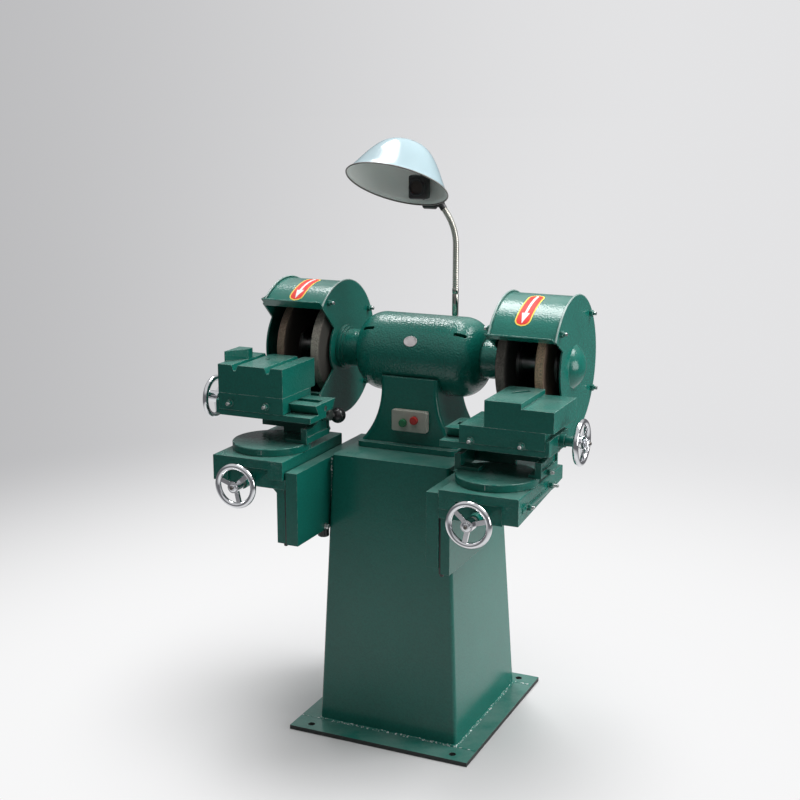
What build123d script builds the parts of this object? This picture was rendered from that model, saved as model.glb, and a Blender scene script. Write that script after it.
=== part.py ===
from build123d import *
import os
from math import asin, cos, radians, sin, tan

# Two-station knife grinding machine on a welded column.
# Millimetres. X runs along the spindle to the right, Y to the back, Z up.
# The origin is the middle of the base plate's underside.
# The stations are drawn on the right, with X as the distance from the middle, and mirrored to the left.

# Clearances
SLIDE_GAP = 0.2         # between flat sliding faces
RUN_GAP = 0.05          # radial, shaft in its bearing or bush
NUT_GAP = 0.3           # radial, feed screw in its nut
PRESS_GAP = 0.02        # radial, piece pressed or keyed on a shaft
SLOT_GAP = 0.6          # around a nut that travels in a slot
END_GAP = 0.3           # between a piece and the stop that it reaches
SWING_GAP = 3.0         # around a piece that swings in a pocket

# Base plate and column
BASE_X = 442.0
BASE_Y = 488.0
BASE_T = 10.0
ANCHOR_PITCH_X = 354.0
ANCHOR_PITCH_Y = 438.0
ANCHOR_D = 16.0
COLUMN_FOOT_X = 344.5
COLUMN_FOOT_Y = 378.0
COLUMN_FOOT_SHIFT = 4.6
COLUMN_HEAD_X = 284.0
COLUMN_HEAD_Y = 317.0
COLUMN_HEAD_SHIFT = -9.0
COLUMN_H = 642.0
COLUMN_WALL = 5.0
COLUMN_LID = 10.0
COLUMN_BEND = 8.0

# Wing plates on the column's sides, each with a vertical dovetail
WING_IN = 152.0
WING_T = 28.0
WING_FRONT = -315.0
WING_REAR = 60.0
WING_H = 164.0
WING_DROP = 9.0         # wing's top edge below the column's top
WING_PAD_SETBACK = 18.0
DOVETAIL_SLOPE = 30.0
KNEE_TONGUE_Y = -252.0
KNEE_TONGUE_NECK = 70.0
KNEE_TONGUE_H = 12.0

# Elevating screw inside the wing
LIFT_SCREW_X = 166.0
LIFT_SCREW_Y = -168.0
LIFT_SCREW_R = 5.0
LIFT_COLLAR_R = 8.0
LIFT_COLLAR_T = 5.0
LIFT_NUT_HALF = 9.0
LIFT_NUT_H = 28.0
LIFT_NUT_DROP = 87.0    # nut's middle below the wing's top edge
LIFT_TRAVEL = 15.0      # knee travel up and down from rest
LIFT_KNOB_R = 13.0
LIFT_KNOB_H = 22.0
KNOB_FLUTES = 8
KNOB_FLUTE_R = 3.0

# Knee: upright plate with a guide block that carries the saddle
KNEE_T = 24.0
KNEE_FRONT = -312.0
KNEE_REAR = -110.0
KNEE_BELOW = 6.0        # knee's lower end below the wing's
KNEE_BLEND = 10.0
GUIDE_FRONT = -316.0
GUIDE_REAR = -80.0
GUIDE_UNDER = 14.0      # guide's underside below the saddle screw
KNEE_BOSS_R = 13.5
KNEE_BOSS_END = -345.0
REST_LIFT = {"left": 7.0, "right": -7.0}
LIFT_REACH = LIFT_TRAVEL + max(REST_LIFT.values()) + 2.0

# Saddle: inverted channel on the guide block
STATION_X = 270.0
STATION_Y = -213.0
SADDLE_IN = 183.0
SADDLE_W = 174.0
SADDLE_FRONT = -323.0
SADDLE_L = 285.0
SADDLE_RISE = 17.0      # saddle's top above the wing's, with the knee at mid travel
SADDLE_PLATE = 20.0
SADDLE_LEG_IN = 37.0
SADDLE_LEG_OUT = 36.0
SADDLE_LEG_IN_H = 41.0
SADDLE_LEG_OUT_H = 57.0
SADDLE_LEG_RISE = 27.0  # taper of the outer leg's lower edge towards the back
SADDLE_ROUND = 2.0

# Feed screws, their nuts and hand wheels
SCREW_R = 6.0
SCREW_END_R = 5.0
SCREW_COLLAR_R = 9.5
NUT_HALF = 11.0
NUT_L = 28.0
SADDLE_SCREW_DROP = 49.0
SADDLE_NUT_Y = -150.0
SADDLE_NUT_DROP = 42.0
SADDLE_SCREW_TAIL = -95.0
SADDLE_OUT = 38.0       # saddle travel towards the operator
SADDLE_IN_TRAVEL = 4.0  # saddle travel towards the wheels
FRONT_WHEEL_Y = -373.0
WHEEL_D = 100.0
WHEEL_RIM_R = 6.5
WHEEL_HUB_R = 13.0
WHEEL_HUB_L = 24.0
WHEEL_SPOKES = 3
SPOKE_W = 10.0
SPOKE_T = 6.0
SPOKE_LEAN = {"front": 18.0, "side": 40.0}

# Turntable and tilt bracket
TURNTABLE_R = 88.5
TURNTABLE_T = 17.0
TURNTABLE_BEVEL = 1.5
SPIGOT_R = 20.0
CHEEK_IN = 177.0
CHEEK_SPAN = 192.0      # over both cheeks of the right bracket; the left one has the inner cheek only
CHEEK_T = 14.0
CHEEK_FRONT = -222.0
CHEEK_REAR = -112.0
CHEEK_NOSE_H = 35.0
CHEEK_HOLLOW = 7.0
CHEEK_RIM = 6.0
CHEEK_RECESS = 4.0
TOE_T = 8.0
TOE_L = 36.0
TOE_IN_W = 40.0
TOE_OUT_W = 14.0
WEB_W = 91.0
WEB_T = 14.0
WEB_H = 29.0
WEB_ARM = 56.0
WEB_ARM_Z = 11.0
PIVOT_Y = -131.0
PIVOT_H = 48.0          # pivot above the turntable
PIVOT_BOSS_R = 16.0

# Tilt clamp: bolt, lever and ball
CLAMP_BOLT_R = 7.0
CLAMP_HEAD_R = 12.0
CLAMP_HEAD_T = 8.0
LEVER_HUB_L = 14.0
LEVER_ROD_R = 4.5
LEVER_BALL_R = 18.0
LEVER_BALL_IN = 15.0    # ball centre, from the cheek's inner face
LEVER_BALL_BACK = 33.0
LEVER_BALL_DROP = 7.0

# Cross rail and carriage
RAIL_IN = 153.0
RAIL_L = 232.0
RAIL_FRONT = -247.0
RAIL_RISE = 6.0         # rail's underside above the pivot
RAIL_FLANGE_T = 13.0
RAIL_TONGUE_Y = -175.0
RAIL_TONGUE_NECK = 68.0
RAIL_TONGUE_H = 22.0
RAIL_LUG_T = 24.0
RAIL_LUG_R = 15.0
RAIL_TAIL_WALL = 12.0
POCKET_FRONT = -172.0
TABLE_SCREW_H = 8.0     # screw above the rail's flange
TABLE_NUT_DROP = 10.5   # nut below the screw's axis
TABLE_NUT_X = 300.0
END_PLATE_T = 8.0
END_BOSS_R = 14.0
END_BOSS_L = 12.0
SIDE_WHEEL_X = 439.0
BUSH_R = 11.0
CARRIAGE_IN = {"left": 221.0, "right": 197.0}
CARRIAGE_FRONT = -248.0
CARRIAGE_REAR = -118.0
CARRIAGE_CROWN = 16.0   # carriage above the dovetail

# Knife holders
HOLDER_FRONT = -248.0
HOLDER_REAR = -97.0
HOLDER_H_LEFT = 65.0
HOLDER_OUT_LEFT = 385.0
GROOVE_X = (258.0, 342.0)
GROOVE_W = 17.0
GROOVE_D = 13.0
GROOVE_FLOOR = 5.0
JAW_IN = 336.0
JAW_FRONT = -219.0
JAW_REAR = -153.0
JAW_H = 23.0
CLAMP_HOLE_R = 6.0
CLAMP_HOLE_FLOOR = 12.0
CLAMP_HOLE_X = 310.0
CLAMP_HOLE_Y = -154.0
HOLDER_IN_RIGHT = 252.0
HOLDER_OUT_RIGHT = 402.0
HOLDER_H_RIGHT = 45.0
PLATE_OUT_RIGHT = 332.0
PLATE_T_RIGHT = 12.0
PLATE_SLOT_X = 294.0
PLATE_SLOT_Y = -145.0
PLATE_SLOT_L = 46.0
PLATE_SLOT_W = 11.0
PLATE_SLOT_TURN = 49.0

# Motor head; its lengths run both ways from the head's middle
HEAD_X = -3.0
AXIS_Y = 32.6
AXIS_H = 206.6          # spindle above the column's top
MOTOR_R = 91.0
MOTOR_HALF = 88.0
MOTOR_WALL = 6.0
BELL_STRAIGHT = 6.0
BELL_END = 152.0
BELL_NOSE_R = 50.0
BELL_CROWN = 12.0
NECK_R = 44.0
COLLAR_R = 52.5
COLLAR_STEP_R = 48.0
COLLAR_T = 8.0
COLLAR_STEP_T = 6.0
VENT_TILT = 46.0
VENT_X = 112.0
VENT_W = 8.0
VENT_L = 30.0
BEARING_R = 26.0
BEARING_W = 15.0
BEARING_X = 122.0
STATOR_R_IN = 56.0
STATOR_HALF = 52.0
ROTOR_R = 55.4
ROTOR_HALF = 50.0
SHAFT_R = 12.5
SHAFT_CORE_R = 15.0
SHAFT_CORE_HALF = 100.0
SHOULDER_R = 18.0
SHOULDER_T = 4.0
NECK_BORE_GAP = 0.8

# Motor foot on the column's lid
FOOT_PLATE_X = 244.0
FOOT_PLATE_FRONT = -79.0
LAMP_CLEAR = 8.0        # between the plate and the lamp's boss
FOOT_PLATE_T = 13.0
PEDESTAL_X = 138.0
PEDESTAL_FRONT = -61.0
PEDESTAL_DEPTH = 160.0
PEDESTAL_FLARE = 51.0
PEDESTAL_FLARE_H = 127.0
PEDESTAL_ROUND = 10.0
FOOT_PLATE_ROUND = 14.0
SEAT_WRAP = 40.0        # how far below the axis the pedestal's cradle reaches up

# Push button plate on the pedestal
SWITCH_X = 86.0
SWITCH_Z = 49.0
SWITCH_T = 14.0
SWITCH_CENTRE_X = 5.0
SWITCH_H = 70.0         # plate's middle above the column's top
SWITCH_ROUND = 5.0
BUTTON_R = 9.0
BUTTON_L = 15.0
BUTTON_OUT = 8.0
BUTTON_TRAVEL = 4.0
BUTTON_PITCH_X = 27.0
BUTTON_PITCH_Z = 8.0

# Wheels and guards
WHEEL_R = 115.0
INNER_WHEEL_X = 215.0
INNER_WHEEL_T = 22.0
OUTER_WHEEL_X = 305.0
OUTER_WHEEL_T = 20.0
WHEEL_EDGE = 1.5
FLANGE_R = 42.0
FLANGE_T = 6.0
FLANGE_RELIEF = 1.5
SPACER_R = 19.0
NUT_FLATS = 36.0
NUT_T = 14.0
GUARD_IN = 204.0
GUARD_W = 156.0
GUARD_R = 158.0
GUARD_LIP = 4.0         # how far the side plates stand past the drum
GUARD_SHEET = 3.0
GUARD_PLATE = 4.0
GUARD_HOLE_R = 32.0
MOUTH_TOP = 46.4        # angles from straight up, towards the front
MOUTH_BOTTOM = 125.0
NOTCH_R_IN = 76.0
NOTCH_R_OUT = 103.0
VISOR_H = 25.0
GUARD_TURN = {"left": 0.0, "right": 15.0}
STUD_INSET = 14.0       # studs inside the guard's rim
STUD_R = 4.0
STUD_NUT_FLATS = 13.0
STUD_NUT_T = 7.0
STUD_TAIL = 8.0
STUD_ANGLES = (36.0, -59.0, -135.0)
DOME_R = 48.0
DOME_H = 24.0
DOME_WALL = 3.0

# Work lamp
LAMP_X = 28.5
LAMP_INSET = 10.5       # stem's axis in front of the column's back
STEM_R = 7.0
STEM_L = 343.0
STEM_BORE_R = 5.0
STEM_BASE_R = 10.0
STEM_BASE_H = 16.0
HOSE_R = 6.0
HOSE_GROOVE_R = 4.9
HOSE_BORE_R = 3.2
HOSE_RIBS = 40
HOSE_BEND = 35.0
HOSE_END_RUN = 13.0
KNUCKLE_ASIDE = 38.5    # knuckle to the left of the stem
KNUCKLE_RISE = 197.0    # knuckle above the stem's top
KNUCKLE_R = 9.5
FERRULE_R = 8.0
FERRULE_L = 14.0
HINGE_PIN_R = 5.0
HINGE_PIN_L = 16.0
HOLDER_ASIDE = 31.0     # lamp holder to the left of the knuckle
HOLDER_RISE = 35.0
CAP_R = 20.0
CAP_BACK = 15.0
SOCKET_R = 25.0
SOCKET_START = 16.0
SOCKET_END = 82.0
SOCKET_BORE_R = 13.5
SOCKET_BORE_L = 30.0
SOCKET_MOUTH_R = 20.5
SOCKET_MOUTH_L = 9.0
SHADE_COLLAR_AT = 17.0
SHADE_COLLAR_L = 18.0
SHADE_ASIDE = 22.0      # rim's middle from the holder's hinge, to the left, forward and up
SHADE_FORWARD = 129.0
SHADE_RISE = 52.0
SHADE_TILT = 34.0
SHADE_R = 118.0
SHADE_H = 104.0
SHADE_WALL = 1.6
SHADE_BRIM = 7.0
SHADE_CROWN_R = 30.0

# Places that follow from the sizes above
COLUMN_TOP = BASE_T + COLUMN_H
WING_TOP = COLUMN_TOP - WING_DROP
WING_BOTTOM = WING_TOP - WING_H
WING_OUT = WING_IN + WING_T
LIFT_NUT_Z = WING_TOP - LIFT_NUT_DROP
KNEE_BOTTOM = WING_BOTTOM - KNEE_BELOW
KNEE_IN = WING_OUT + SLIDE_GAP
KNEE_OUT = WING_OUT + KNEE_T
SADDLE_TOP = WING_TOP + SADDLE_RISE
SADDLE_LEG_IN_Z = SADDLE_TOP - SADDLE_LEG_IN_H
SADDLE_LEG_OUT_Z = SADDLE_TOP - SADDLE_LEG_OUT_H
SADDLE_SCREW_Z = SADDLE_TOP - SADDLE_SCREW_DROP
GUIDE_BOTTOM = SADDLE_SCREW_Z - GUIDE_UNDER
SADDLE_OUT_X = SADDLE_IN + SADDLE_W
CHANNEL_IN = SADDLE_IN + SADDLE_LEG_IN
CHANNEL_OUT = SADDLE_OUT_X - SADDLE_LEG_OUT
CHANNEL_TOP = SADDLE_TOP - SADDLE_PLATE
DISC_BOTTOM = SADDLE_TOP + SLIDE_GAP
DISC_TOP = SADDLE_TOP + TURNTABLE_T
CHEEK_OUT = CHEEK_IN + CHEEK_SPAN
PIVOT_Z = DISC_TOP + PIVOT_H
RAIL_BOTTOM = PIVOT_Z + RAIL_RISE
RAIL_OUT = RAIL_IN + RAIL_L
RAIL_FLANGE_TOP = RAIL_BOTTOM + RAIL_FLANGE_T
RAIL_TOP = RAIL_FLANGE_TOP + RAIL_TONGUE_H
TABLE_SCREW_Z = RAIL_FLANGE_TOP + TABLE_SCREW_H
END_BOSS_OUT = RAIL_OUT + END_PLATE_T + END_BOSS_L
CARRIAGE_TOP = RAIL_TOP + CARRIAGE_CROWN
HOLDER_TOP_LEFT = CARRIAGE_TOP + HOLDER_H_LEFT
HOLDER_TOP_RIGHT = CARRIAGE_TOP + HOLDER_H_RIGHT
CARRIAGE_OUT = RAIL_OUT - END_GAP
AXIS_Z = COLUMN_TOP + AXIS_H
SWITCH_CENTRE_Z = COLUMN_TOP + SWITCH_H
GUARD_OUT = GUARD_IN + GUARD_W
DRUM_R = GUARD_R - GUARD_LIP
STUD_PITCH_R = GUARD_R - STUD_INSET
TONGUE_TOP = SADDLE_LEG_IN_Z + min(REST_LIFT.values()) - LIFT_TRAVEL - SWING_GAP
LAMP_Y = COLUMN_HEAD_SHIFT + COLUMN_HEAD_Y / 2 - LAMP_INSET
FOOT_PLATE_REAR = LAMP_Y - STEM_BASE_R - LAMP_CLEAR
STEM_TOP = COLUMN_TOP + STEM_L
KNUCKLE_X = LAMP_X - KNUCKLE_ASIDE
KNUCKLE_Z = STEM_TOP + KNUCKLE_RISE
HOLDER_X = KNUCKLE_X - HOLDER_ASIDE
SHADE_X = HOLDER_X - SHADE_ASIDE
SHADE_Y = LAMP_Y - SHADE_FORWARD
SHADE_Z = KNUCKLE_Z + SHADE_RISE
SIDES = ("left", "right")


def block(x0, x1, y0, y1, z0, z1):
    """Box between two corners."""
    middle = Pos((x0 + x1) / 2, (y0 + y1) / 2, (z0 + z1) / 2)
    return middle * Box(x1 - x0, y1 - y0, z1 - z0)


def rod(start, end, radius):
    """Round bar between two points."""
    run = Vector(*end) - Vector(*start)
    return extrude(Plane(origin=start, z_dir=run) * Circle(radius), run.length)


def lift_bar(z0, z1, radius):
    """Round bar on the elevating screw's axis."""
    return rod((LIFT_SCREW_X, LIFT_SCREW_Y, z0), (LIFT_SCREW_X, LIFT_SCREW_Y, z1), radius)


def saddle_bar(y0, y1, radius):
    """Round bar on the saddle screw's axis."""
    return rod((STATION_X, y0, SADDLE_SCREW_Z), (STATION_X, y1, SADDLE_SCREW_Z), radius)


def pivot_bar(x0, x1, radius):
    """Round bar on the rail's tilting axis."""
    return rod((x0, PIVOT_Y, PIVOT_Z), (x1, PIVOT_Y, PIVOT_Z), radius)


def table_bar(x0, x1, radius):
    """Round bar on the table screw's axis."""
    return rod((x0, RAIL_TONGUE_Y, TABLE_SCREW_Z), (x1, RAIL_TONGUE_Y, TABLE_SCREW_Z), radius)


def outline(*points):
    """Closed face with straight sides."""
    return make_face(Polyline(*points, close=True))


def across(sketch, x0, x1):
    """YZ outline made solid from x0 to x1."""
    return extrude(Plane.YZ.offset(x0) * sketch, x1 - x0)


def along(sketch, y0, y1):
    """XZ outline made solid from y0 to y1."""
    return extrude(Plane.XZ.offset(-y1) * sketch, y1 - y0)


def upward(sketch, z0, z1):
    """XY outline made solid from z0 to z1."""
    return extrude(Plane.XY.offset(z0) * sketch, z1 - z0)


def turned(*points):
    """Ring about the X axis from a half section of (x, radius) points."""
    return revolve(Plane.XY * outline(*points), axis=Axis.X)


def ring(x0, x1, outer, inner):
    """Plain ring about the X axis."""
    return turned((x0, inner), (x1, inner), (x1, outer), (x0, outer))


def tongue(neck, height, gap=0.0):
    """Dovetail outline that starts at y = 0 and widens to y = height, or its groove with a gap."""
    spread = tan(radians(DOVETAIL_SLOPE))
    side = gap / cos(radians(DOVETAIL_SLOPE))
    root = neck / 2 + side
    top = root + (height + gap) * spread
    return outline((-root, 0), (root, 0), (top, height + gap), (-top, height + gap))


def fluted_knob(radius, height):
    """Hand knob about Z, from z = 0 up, with finger flutes and rounded ends."""
    knob = extrude(Circle(radius), height)
    knob = fillet(knob.edges().filter_by(GeomType.CIRCLE), 3.0)
    flutes = PolarLocations(radius + KNOB_FLUTE_R * 0.5, KNOB_FLUTES) * Cylinder(KNOB_FLUTE_R, height * 3)
    return knob - flutes


def hand_wheel(lean):
    """Spoked hand wheel about Z with its middle at the origin."""
    pitch_r = WHEEL_D / 2 - WHEEL_RIM_R
    wheel = Torus(pitch_r, WHEEL_RIM_R) + Cylinder(WHEEL_HUB_R, WHEEL_HUB_L)
    spoke = Pos(pitch_r / 2, 0, 0) * Box(pitch_r, SPOKE_W, SPOKE_T)
    for count in range(WHEEL_SPOKES):
        wheel += Rot(0, 0, lean + 360 * count / WHEEL_SPOKES) * spoke
    return wheel - Cylinder(SCREW_END_R + PRESS_GAP, WHEEL_HUB_L * 2)


def column_section(z, inset=0.0):
    """Cross-section of the tapered column at a height, drawn in by a wall."""
    share = (z - BASE_T) / COLUMN_H
    width = COLUMN_FOOT_X + (COLUMN_HEAD_X - COLUMN_FOOT_X) * share
    depth = COLUMN_FOOT_Y + (COLUMN_HEAD_Y - COLUMN_FOOT_Y) * share
    shift = COLUMN_FOOT_SHIFT + (COLUMN_HEAD_SHIFT - COLUMN_FOOT_SHIFT) * share
    section = RectangleRounded(width - 2 * inset, depth - 2 * inset, COLUMN_BEND - inset)
    return Pos(0, shift, z) * section


def column_envelope():
    return loft([column_section(BASE_T), column_section(COLUMN_TOP)])


def base_plate():
    holes = GridLocations(ANCHOR_PITCH_X, ANCHOR_PITCH_Y, 2, 2) * Circle(ANCHOR_D / 2)
    return extrude(Rectangle(BASE_X, BASE_Y) - holes, BASE_T)


def column():
    """Folded sheet column, open below, with its lid welded in."""
    hollow_top = COLUMN_TOP - COLUMN_LID
    hollow = loft([column_section(BASE_T, COLUMN_WALL), column_section(hollow_top, COLUMN_WALL)])
    return column_envelope() - hollow


def wing():
    """Plate welded to the column's side, with the knee's dovetail and the elevating screw's slot."""
    plate = block(WING_IN, WING_OUT, WING_FRONT, WING_REAR, WING_BOTTOM, WING_TOP)
    column_front = COLUMN_HEAD_SHIFT - COLUMN_HEAD_Y / 2
    pad = block(COLUMN_HEAD_X / 2 - COLUMN_WALL, WING_IN, column_front + WING_PAD_SETBACK, WING_REAR,
                WING_BOTTOM, WING_TOP)
    dovetail = Pos(WING_OUT, KNEE_TONGUE_Y) * Rot(0, 0, -90) * tongue(KNEE_TONGUE_NECK, KNEE_TONGUE_H)
    body = plate + pad + upward(dovetail, WING_BOTTOM, TONGUE_TOP)
    half = LIFT_NUT_HALF + SLOT_GAP
    reach = LIFT_NUT_H / 2 + LIFT_REACH
    slot_floor = LIFT_NUT_Z - reach - LIFT_COLLAR_T - END_GAP
    slot = block(LIFT_SCREW_X - half, WING_OUT + KNEE_T, LIFT_SCREW_Y - half, LIFT_SCREW_Y + half,
                 slot_floor, LIFT_NUT_Z + reach)
    bore = lift_bar(WING_BOTTOM - 1, lift_screw_top(), LIFT_SCREW_R + RUN_GAP)
    return body - slot - bore - column_envelope()


def lift_screw_top():
    return LIFT_NUT_Z + LIFT_NUT_H / 2 + LIFT_REACH + 12.0


def elevating_screw():
    """Screw with its thrust collar in the wing's slot and its knob under the wing."""
    place = Pos(LIFT_SCREW_X, LIFT_SCREW_Y, 0)
    knob_top = WING_BOTTOM - END_GAP
    collar_z = LIFT_NUT_Z - LIFT_NUT_H / 2 - LIFT_REACH - LIFT_COLLAR_T
    screw = upward(Circle(LIFT_SCREW_R), knob_top - 1, lift_screw_top() - END_GAP)
    screw += upward(Circle(LIFT_COLLAR_R), collar_z, collar_z + LIFT_COLLAR_T - END_GAP)
    screw += Pos(0, 0, knob_top - LIFT_KNOB_H) * fluted_knob(LIFT_KNOB_R, LIFT_KNOB_H)
    return place * screw


def knee():
    """Upright slide with its dovetail groove, nut and horizontal guide block."""
    guide_in = CHANNEL_IN + SLIDE_GAP
    guide_out = CHANNEL_OUT - SLIDE_GAP
    guide_top = CHANNEL_TOP - SLIDE_GAP
    ledge_top = SADDLE_LEG_IN_Z - SLIDE_GAP
    upright = block(KNEE_IN, KNEE_OUT, KNEE_FRONT, KNEE_REAR, KNEE_BOTTOM, ledge_top)
    arm = along(outline((KNEE_IN, GUIDE_BOTTOM), (guide_out, GUIDE_BOTTOM), (guide_out, guide_top),
                        (guide_in, guide_top), (guide_in, ledge_top), (KNEE_IN, ledge_top)),
                GUIDE_FRONT, GUIDE_REAR)
    blend = along(outline((KNEE_OUT, GUIDE_BOTTOM), (KNEE_OUT, GUIDE_BOTTOM - KNEE_BLEND),
                          (KNEE_OUT + KNEE_BLEND, GUIDE_BOTTOM)), KNEE_FRONT, KNEE_REAR)
    boss = saddle_bar(GUIDE_FRONT, KNEE_BOSS_END, KNEE_BOSS_R)
    lug = block(LIFT_SCREW_X - LIFT_NUT_HALF, KNEE_IN, LIFT_SCREW_Y - LIFT_NUT_HALF,
                LIFT_SCREW_Y + LIFT_NUT_HALF, LIFT_NUT_Z - LIFT_NUT_H / 2, LIFT_NUT_Z + LIFT_NUT_H / 2)
    body = upright + arm + blend + boss + lug
    groove = tongue(KNEE_TONGUE_NECK, KNEE_TONGUE_H + SLIDE_GAP, SLIDE_GAP)
    groove = Pos(WING_OUT, KNEE_TONGUE_Y) * Rot(0, 0, -90) * groove
    body -= upward(groove, KNEE_BOTTOM - 1, ledge_top + 1)
    body -= lift_bar(KNEE_BOTTOM, CHANNEL_TOP, LIFT_SCREW_R + NUT_GAP)
    body -= saddle_bar(KNEE_BOSS_END - 1, GUIDE_REAR + 1, SCREW_R + RUN_GAP)
    half = NUT_HALF + SLOT_GAP
    body -= block(STATION_X - half, STATION_X + half,
                  SADDLE_NUT_Y - NUT_L / 2 - SADDLE_OUT - SWING_GAP,
                  SADDLE_NUT_Y + NUT_L / 2 + SADDLE_IN_TRAVEL + SWING_GAP,
                  GUIDE_BOTTOM - 1, CHANNEL_TOP)
    return body


def saddle():
    """Inverted channel on the guide block, with its nut and the turntable's socket."""
    rear = SADDLE_FRONT + SADDLE_L
    section = outline((SADDLE_IN, SADDLE_LEG_IN_Z), (CHANNEL_IN, SADDLE_LEG_IN_Z),
                      (CHANNEL_IN, CHANNEL_TOP), (CHANNEL_OUT, CHANNEL_TOP),
                      (CHANNEL_OUT, SADDLE_LEG_OUT_Z), (SADDLE_OUT_X, SADDLE_LEG_OUT_Z),
                      (SADDLE_OUT_X, SADDLE_TOP), (SADDLE_IN, SADDLE_TOP))
    body = along(section, SADDLE_FRONT, rear)
    body = fillet(body.edges().filter_by(Axis.Y).group_by(Axis.Z)[-1], SADDLE_ROUND)
    body -= across(outline((SADDLE_FRONT, SADDLE_LEG_OUT_Z), (rear, SADDLE_LEG_OUT_Z),
                           (rear, SADDLE_LEG_OUT_Z + SADDLE_LEG_RISE)), CHANNEL_OUT, SADDLE_OUT_X)
    body += block(STATION_X - NUT_HALF, STATION_X + NUT_HALF,
                  SADDLE_NUT_Y - NUT_L / 2, SADDLE_NUT_Y + NUT_L / 2,
                  CHANNEL_TOP - SADDLE_NUT_DROP, CHANNEL_TOP)
    body -= saddle_bar(SADDLE_FRONT, rear, SCREW_R + NUT_GAP)
    socket = upward(Circle(SPIGOT_R + RUN_GAP), CHANNEL_TOP - 1, SADDLE_TOP + 1)
    return body - Pos(STATION_X, STATION_Y, 0) * socket


def saddle_screw():
    """Feed screw with its thrust collar in front of the knee's boss."""
    hub_back = FRONT_WHEEL_Y + WHEEL_HUB_L / 2
    screw = saddle_bar(hub_back, SADDLE_SCREW_TAIL, SCREW_R)
    screw += saddle_bar(hub_back - WHEEL_HUB_L, hub_back, SCREW_END_R)
    screw += saddle_bar(hub_back, KNEE_BOSS_END - END_GAP, SCREW_COLLAR_R)
    return screw


def front_hand_wheel():
    face = Plane(origin=(STATION_X, FRONT_WHEEL_Y, SADDLE_SCREW_Z), x_dir=(1, 0, 0), z_dir=(0, -1, 0))
    return face * hand_wheel(SPOKE_LEAN["front"])


def turntable():
    """Round table with a spigot in the saddle."""
    disc = upward(Circle(TURNTABLE_R), DISC_BOTTOM, DISC_TOP)
    disc = chamfer(disc.edges().group_by(Axis.Z)[-1], TURNTABLE_BEVEL)
    disc += upward(Circle(SPIGOT_R), CHANNEL_TOP + END_GAP, DISC_BOTTOM)
    return Pos(STATION_X, STATION_Y, 0) * disc


def cheek_face(foot, inset=0.0):
    """Side outline of a bracket cheek: upright nose, hollow back and a round pivot boss."""
    boss_r = PIVOT_BOSS_R - inset
    start = (CHEEK_FRONT + inset, DISC_TOP + CHEEK_NOSE_H - inset)
    end = (PIVOT_Y - boss_r, PIVOT_Z + 4.0)
    middle = ((start[0] + end[0]) / 2 + CHEEK_HOLLOW, (start[1] + end[1]) / 2 - CHEEK_HOLLOW)
    sides = Polyline((PIVOT_Y, PIVOT_Z + 4.0), (CHEEK_REAR - inset, PIVOT_Z), (CHEEK_REAR - inset, foot),
                     (CHEEK_FRONT + inset, foot), start)
    hollow = ThreePointArc(start, middle, end)
    web = make_face(sides + hollow + Line(end, (PIVOT_Y, PIVOT_Z + 4.0)))
    return web + Pos(PIVOT_Y, PIVOT_Z) * Circle(boss_r)


def toe(x0, x1):
    """Flat foot of a cheek on the turntable."""
    return block(x0, x1, CHEEK_FRONT, CHEEK_FRONT + TOE_L, DISC_TOP, DISC_TOP + TOE_T)


def tilt_bracket(side):
    """Bracket on the turntable for the rail's pivot; the right one has a second cheek at its outer end."""
    recess = cheek_face(DISC_TOP + TOE_T + CHEEK_RIM, CHEEK_RIM)
    recess -= Pos(PIVOT_Y, PIVOT_Z) * Circle(PIVOT_BOSS_R)
    bore = pivot_bar(CHEEK_IN - 1, CHEEK_OUT + 1, CLAMP_BOLT_R + RUN_GAP)
    inner_face = CHEEK_IN + CHEEK_T
    inner = across(cheek_face(DISC_TOP), CHEEK_IN, inner_face)
    inner -= across(recess, CHEEK_IN - 1, CHEEK_IN + CHEEK_RECESS)
    inner += toe(inner_face, inner_face + TOE_IN_W)
    web_end = inner_face + WEB_W
    web = outline((inner_face, DISC_TOP), (web_end, DISC_TOP), (web_end, DISC_TOP + WEB_ARM_Z),
                  (web_end + WEB_ARM, DISC_TOP + WEB_ARM_Z), (web_end + WEB_ARM, DISC_TOP + WEB_H),
                  (inner_face, DISC_TOP + WEB_H))
    inner += along(web, PIVOT_Y - WEB_T / 2, PIVOT_Y + WEB_T / 2)
    if side == "left":
        return inner - bore
    outer_face = CHEEK_OUT - CHEEK_T
    outer = across(cheek_face(DISC_TOP), outer_face, CHEEK_OUT)
    outer -= across(recess, CHEEK_OUT - CHEEK_RECESS, CHEEK_OUT + 1)
    outer += toe(outer_face - TOE_OUT_W, outer_face)
    return [inner - bore, outer - bore]


def clamp_end(side):
    """Far end of the clamp bolt's run: outside the outer cheek, or outside the only lug."""
    return CHEEK_OUT if side == "right" else CHEEK_IN + CHEEK_T + SLIDE_GAP + RAIL_LUG_T


def lever_ball_centre():
    return (CHEEK_IN - LEVER_BALL_IN, PIVOT_Y + LEVER_BALL_BACK, PIVOT_Z - LEVER_BALL_DROP)


def tilt_clamp(side):
    """Clamp bolt through the bracket and the rail's lugs, with its lever rod."""
    hub_in = CHEEK_IN - END_GAP - LEVER_HUB_L
    head_in = clamp_end(side) + END_GAP
    head_out = head_in + CLAMP_HEAD_T
    bolt = pivot_bar(hub_in, head_out, CLAMP_BOLT_R)
    bolt += pivot_bar(hub_in, hub_in + LEVER_HUB_L, CLAMP_HEAD_R)
    head = across(Pos(PIVOT_Y, PIVOT_Z) * RegularPolygon(CLAMP_HEAD_R, 6), head_in, head_out)
    lever = rod((hub_in + LEVER_HUB_L / 2, PIVOT_Y, PIVOT_Z), lever_ball_centre(), LEVER_ROD_R)
    return bolt + head + lever


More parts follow.
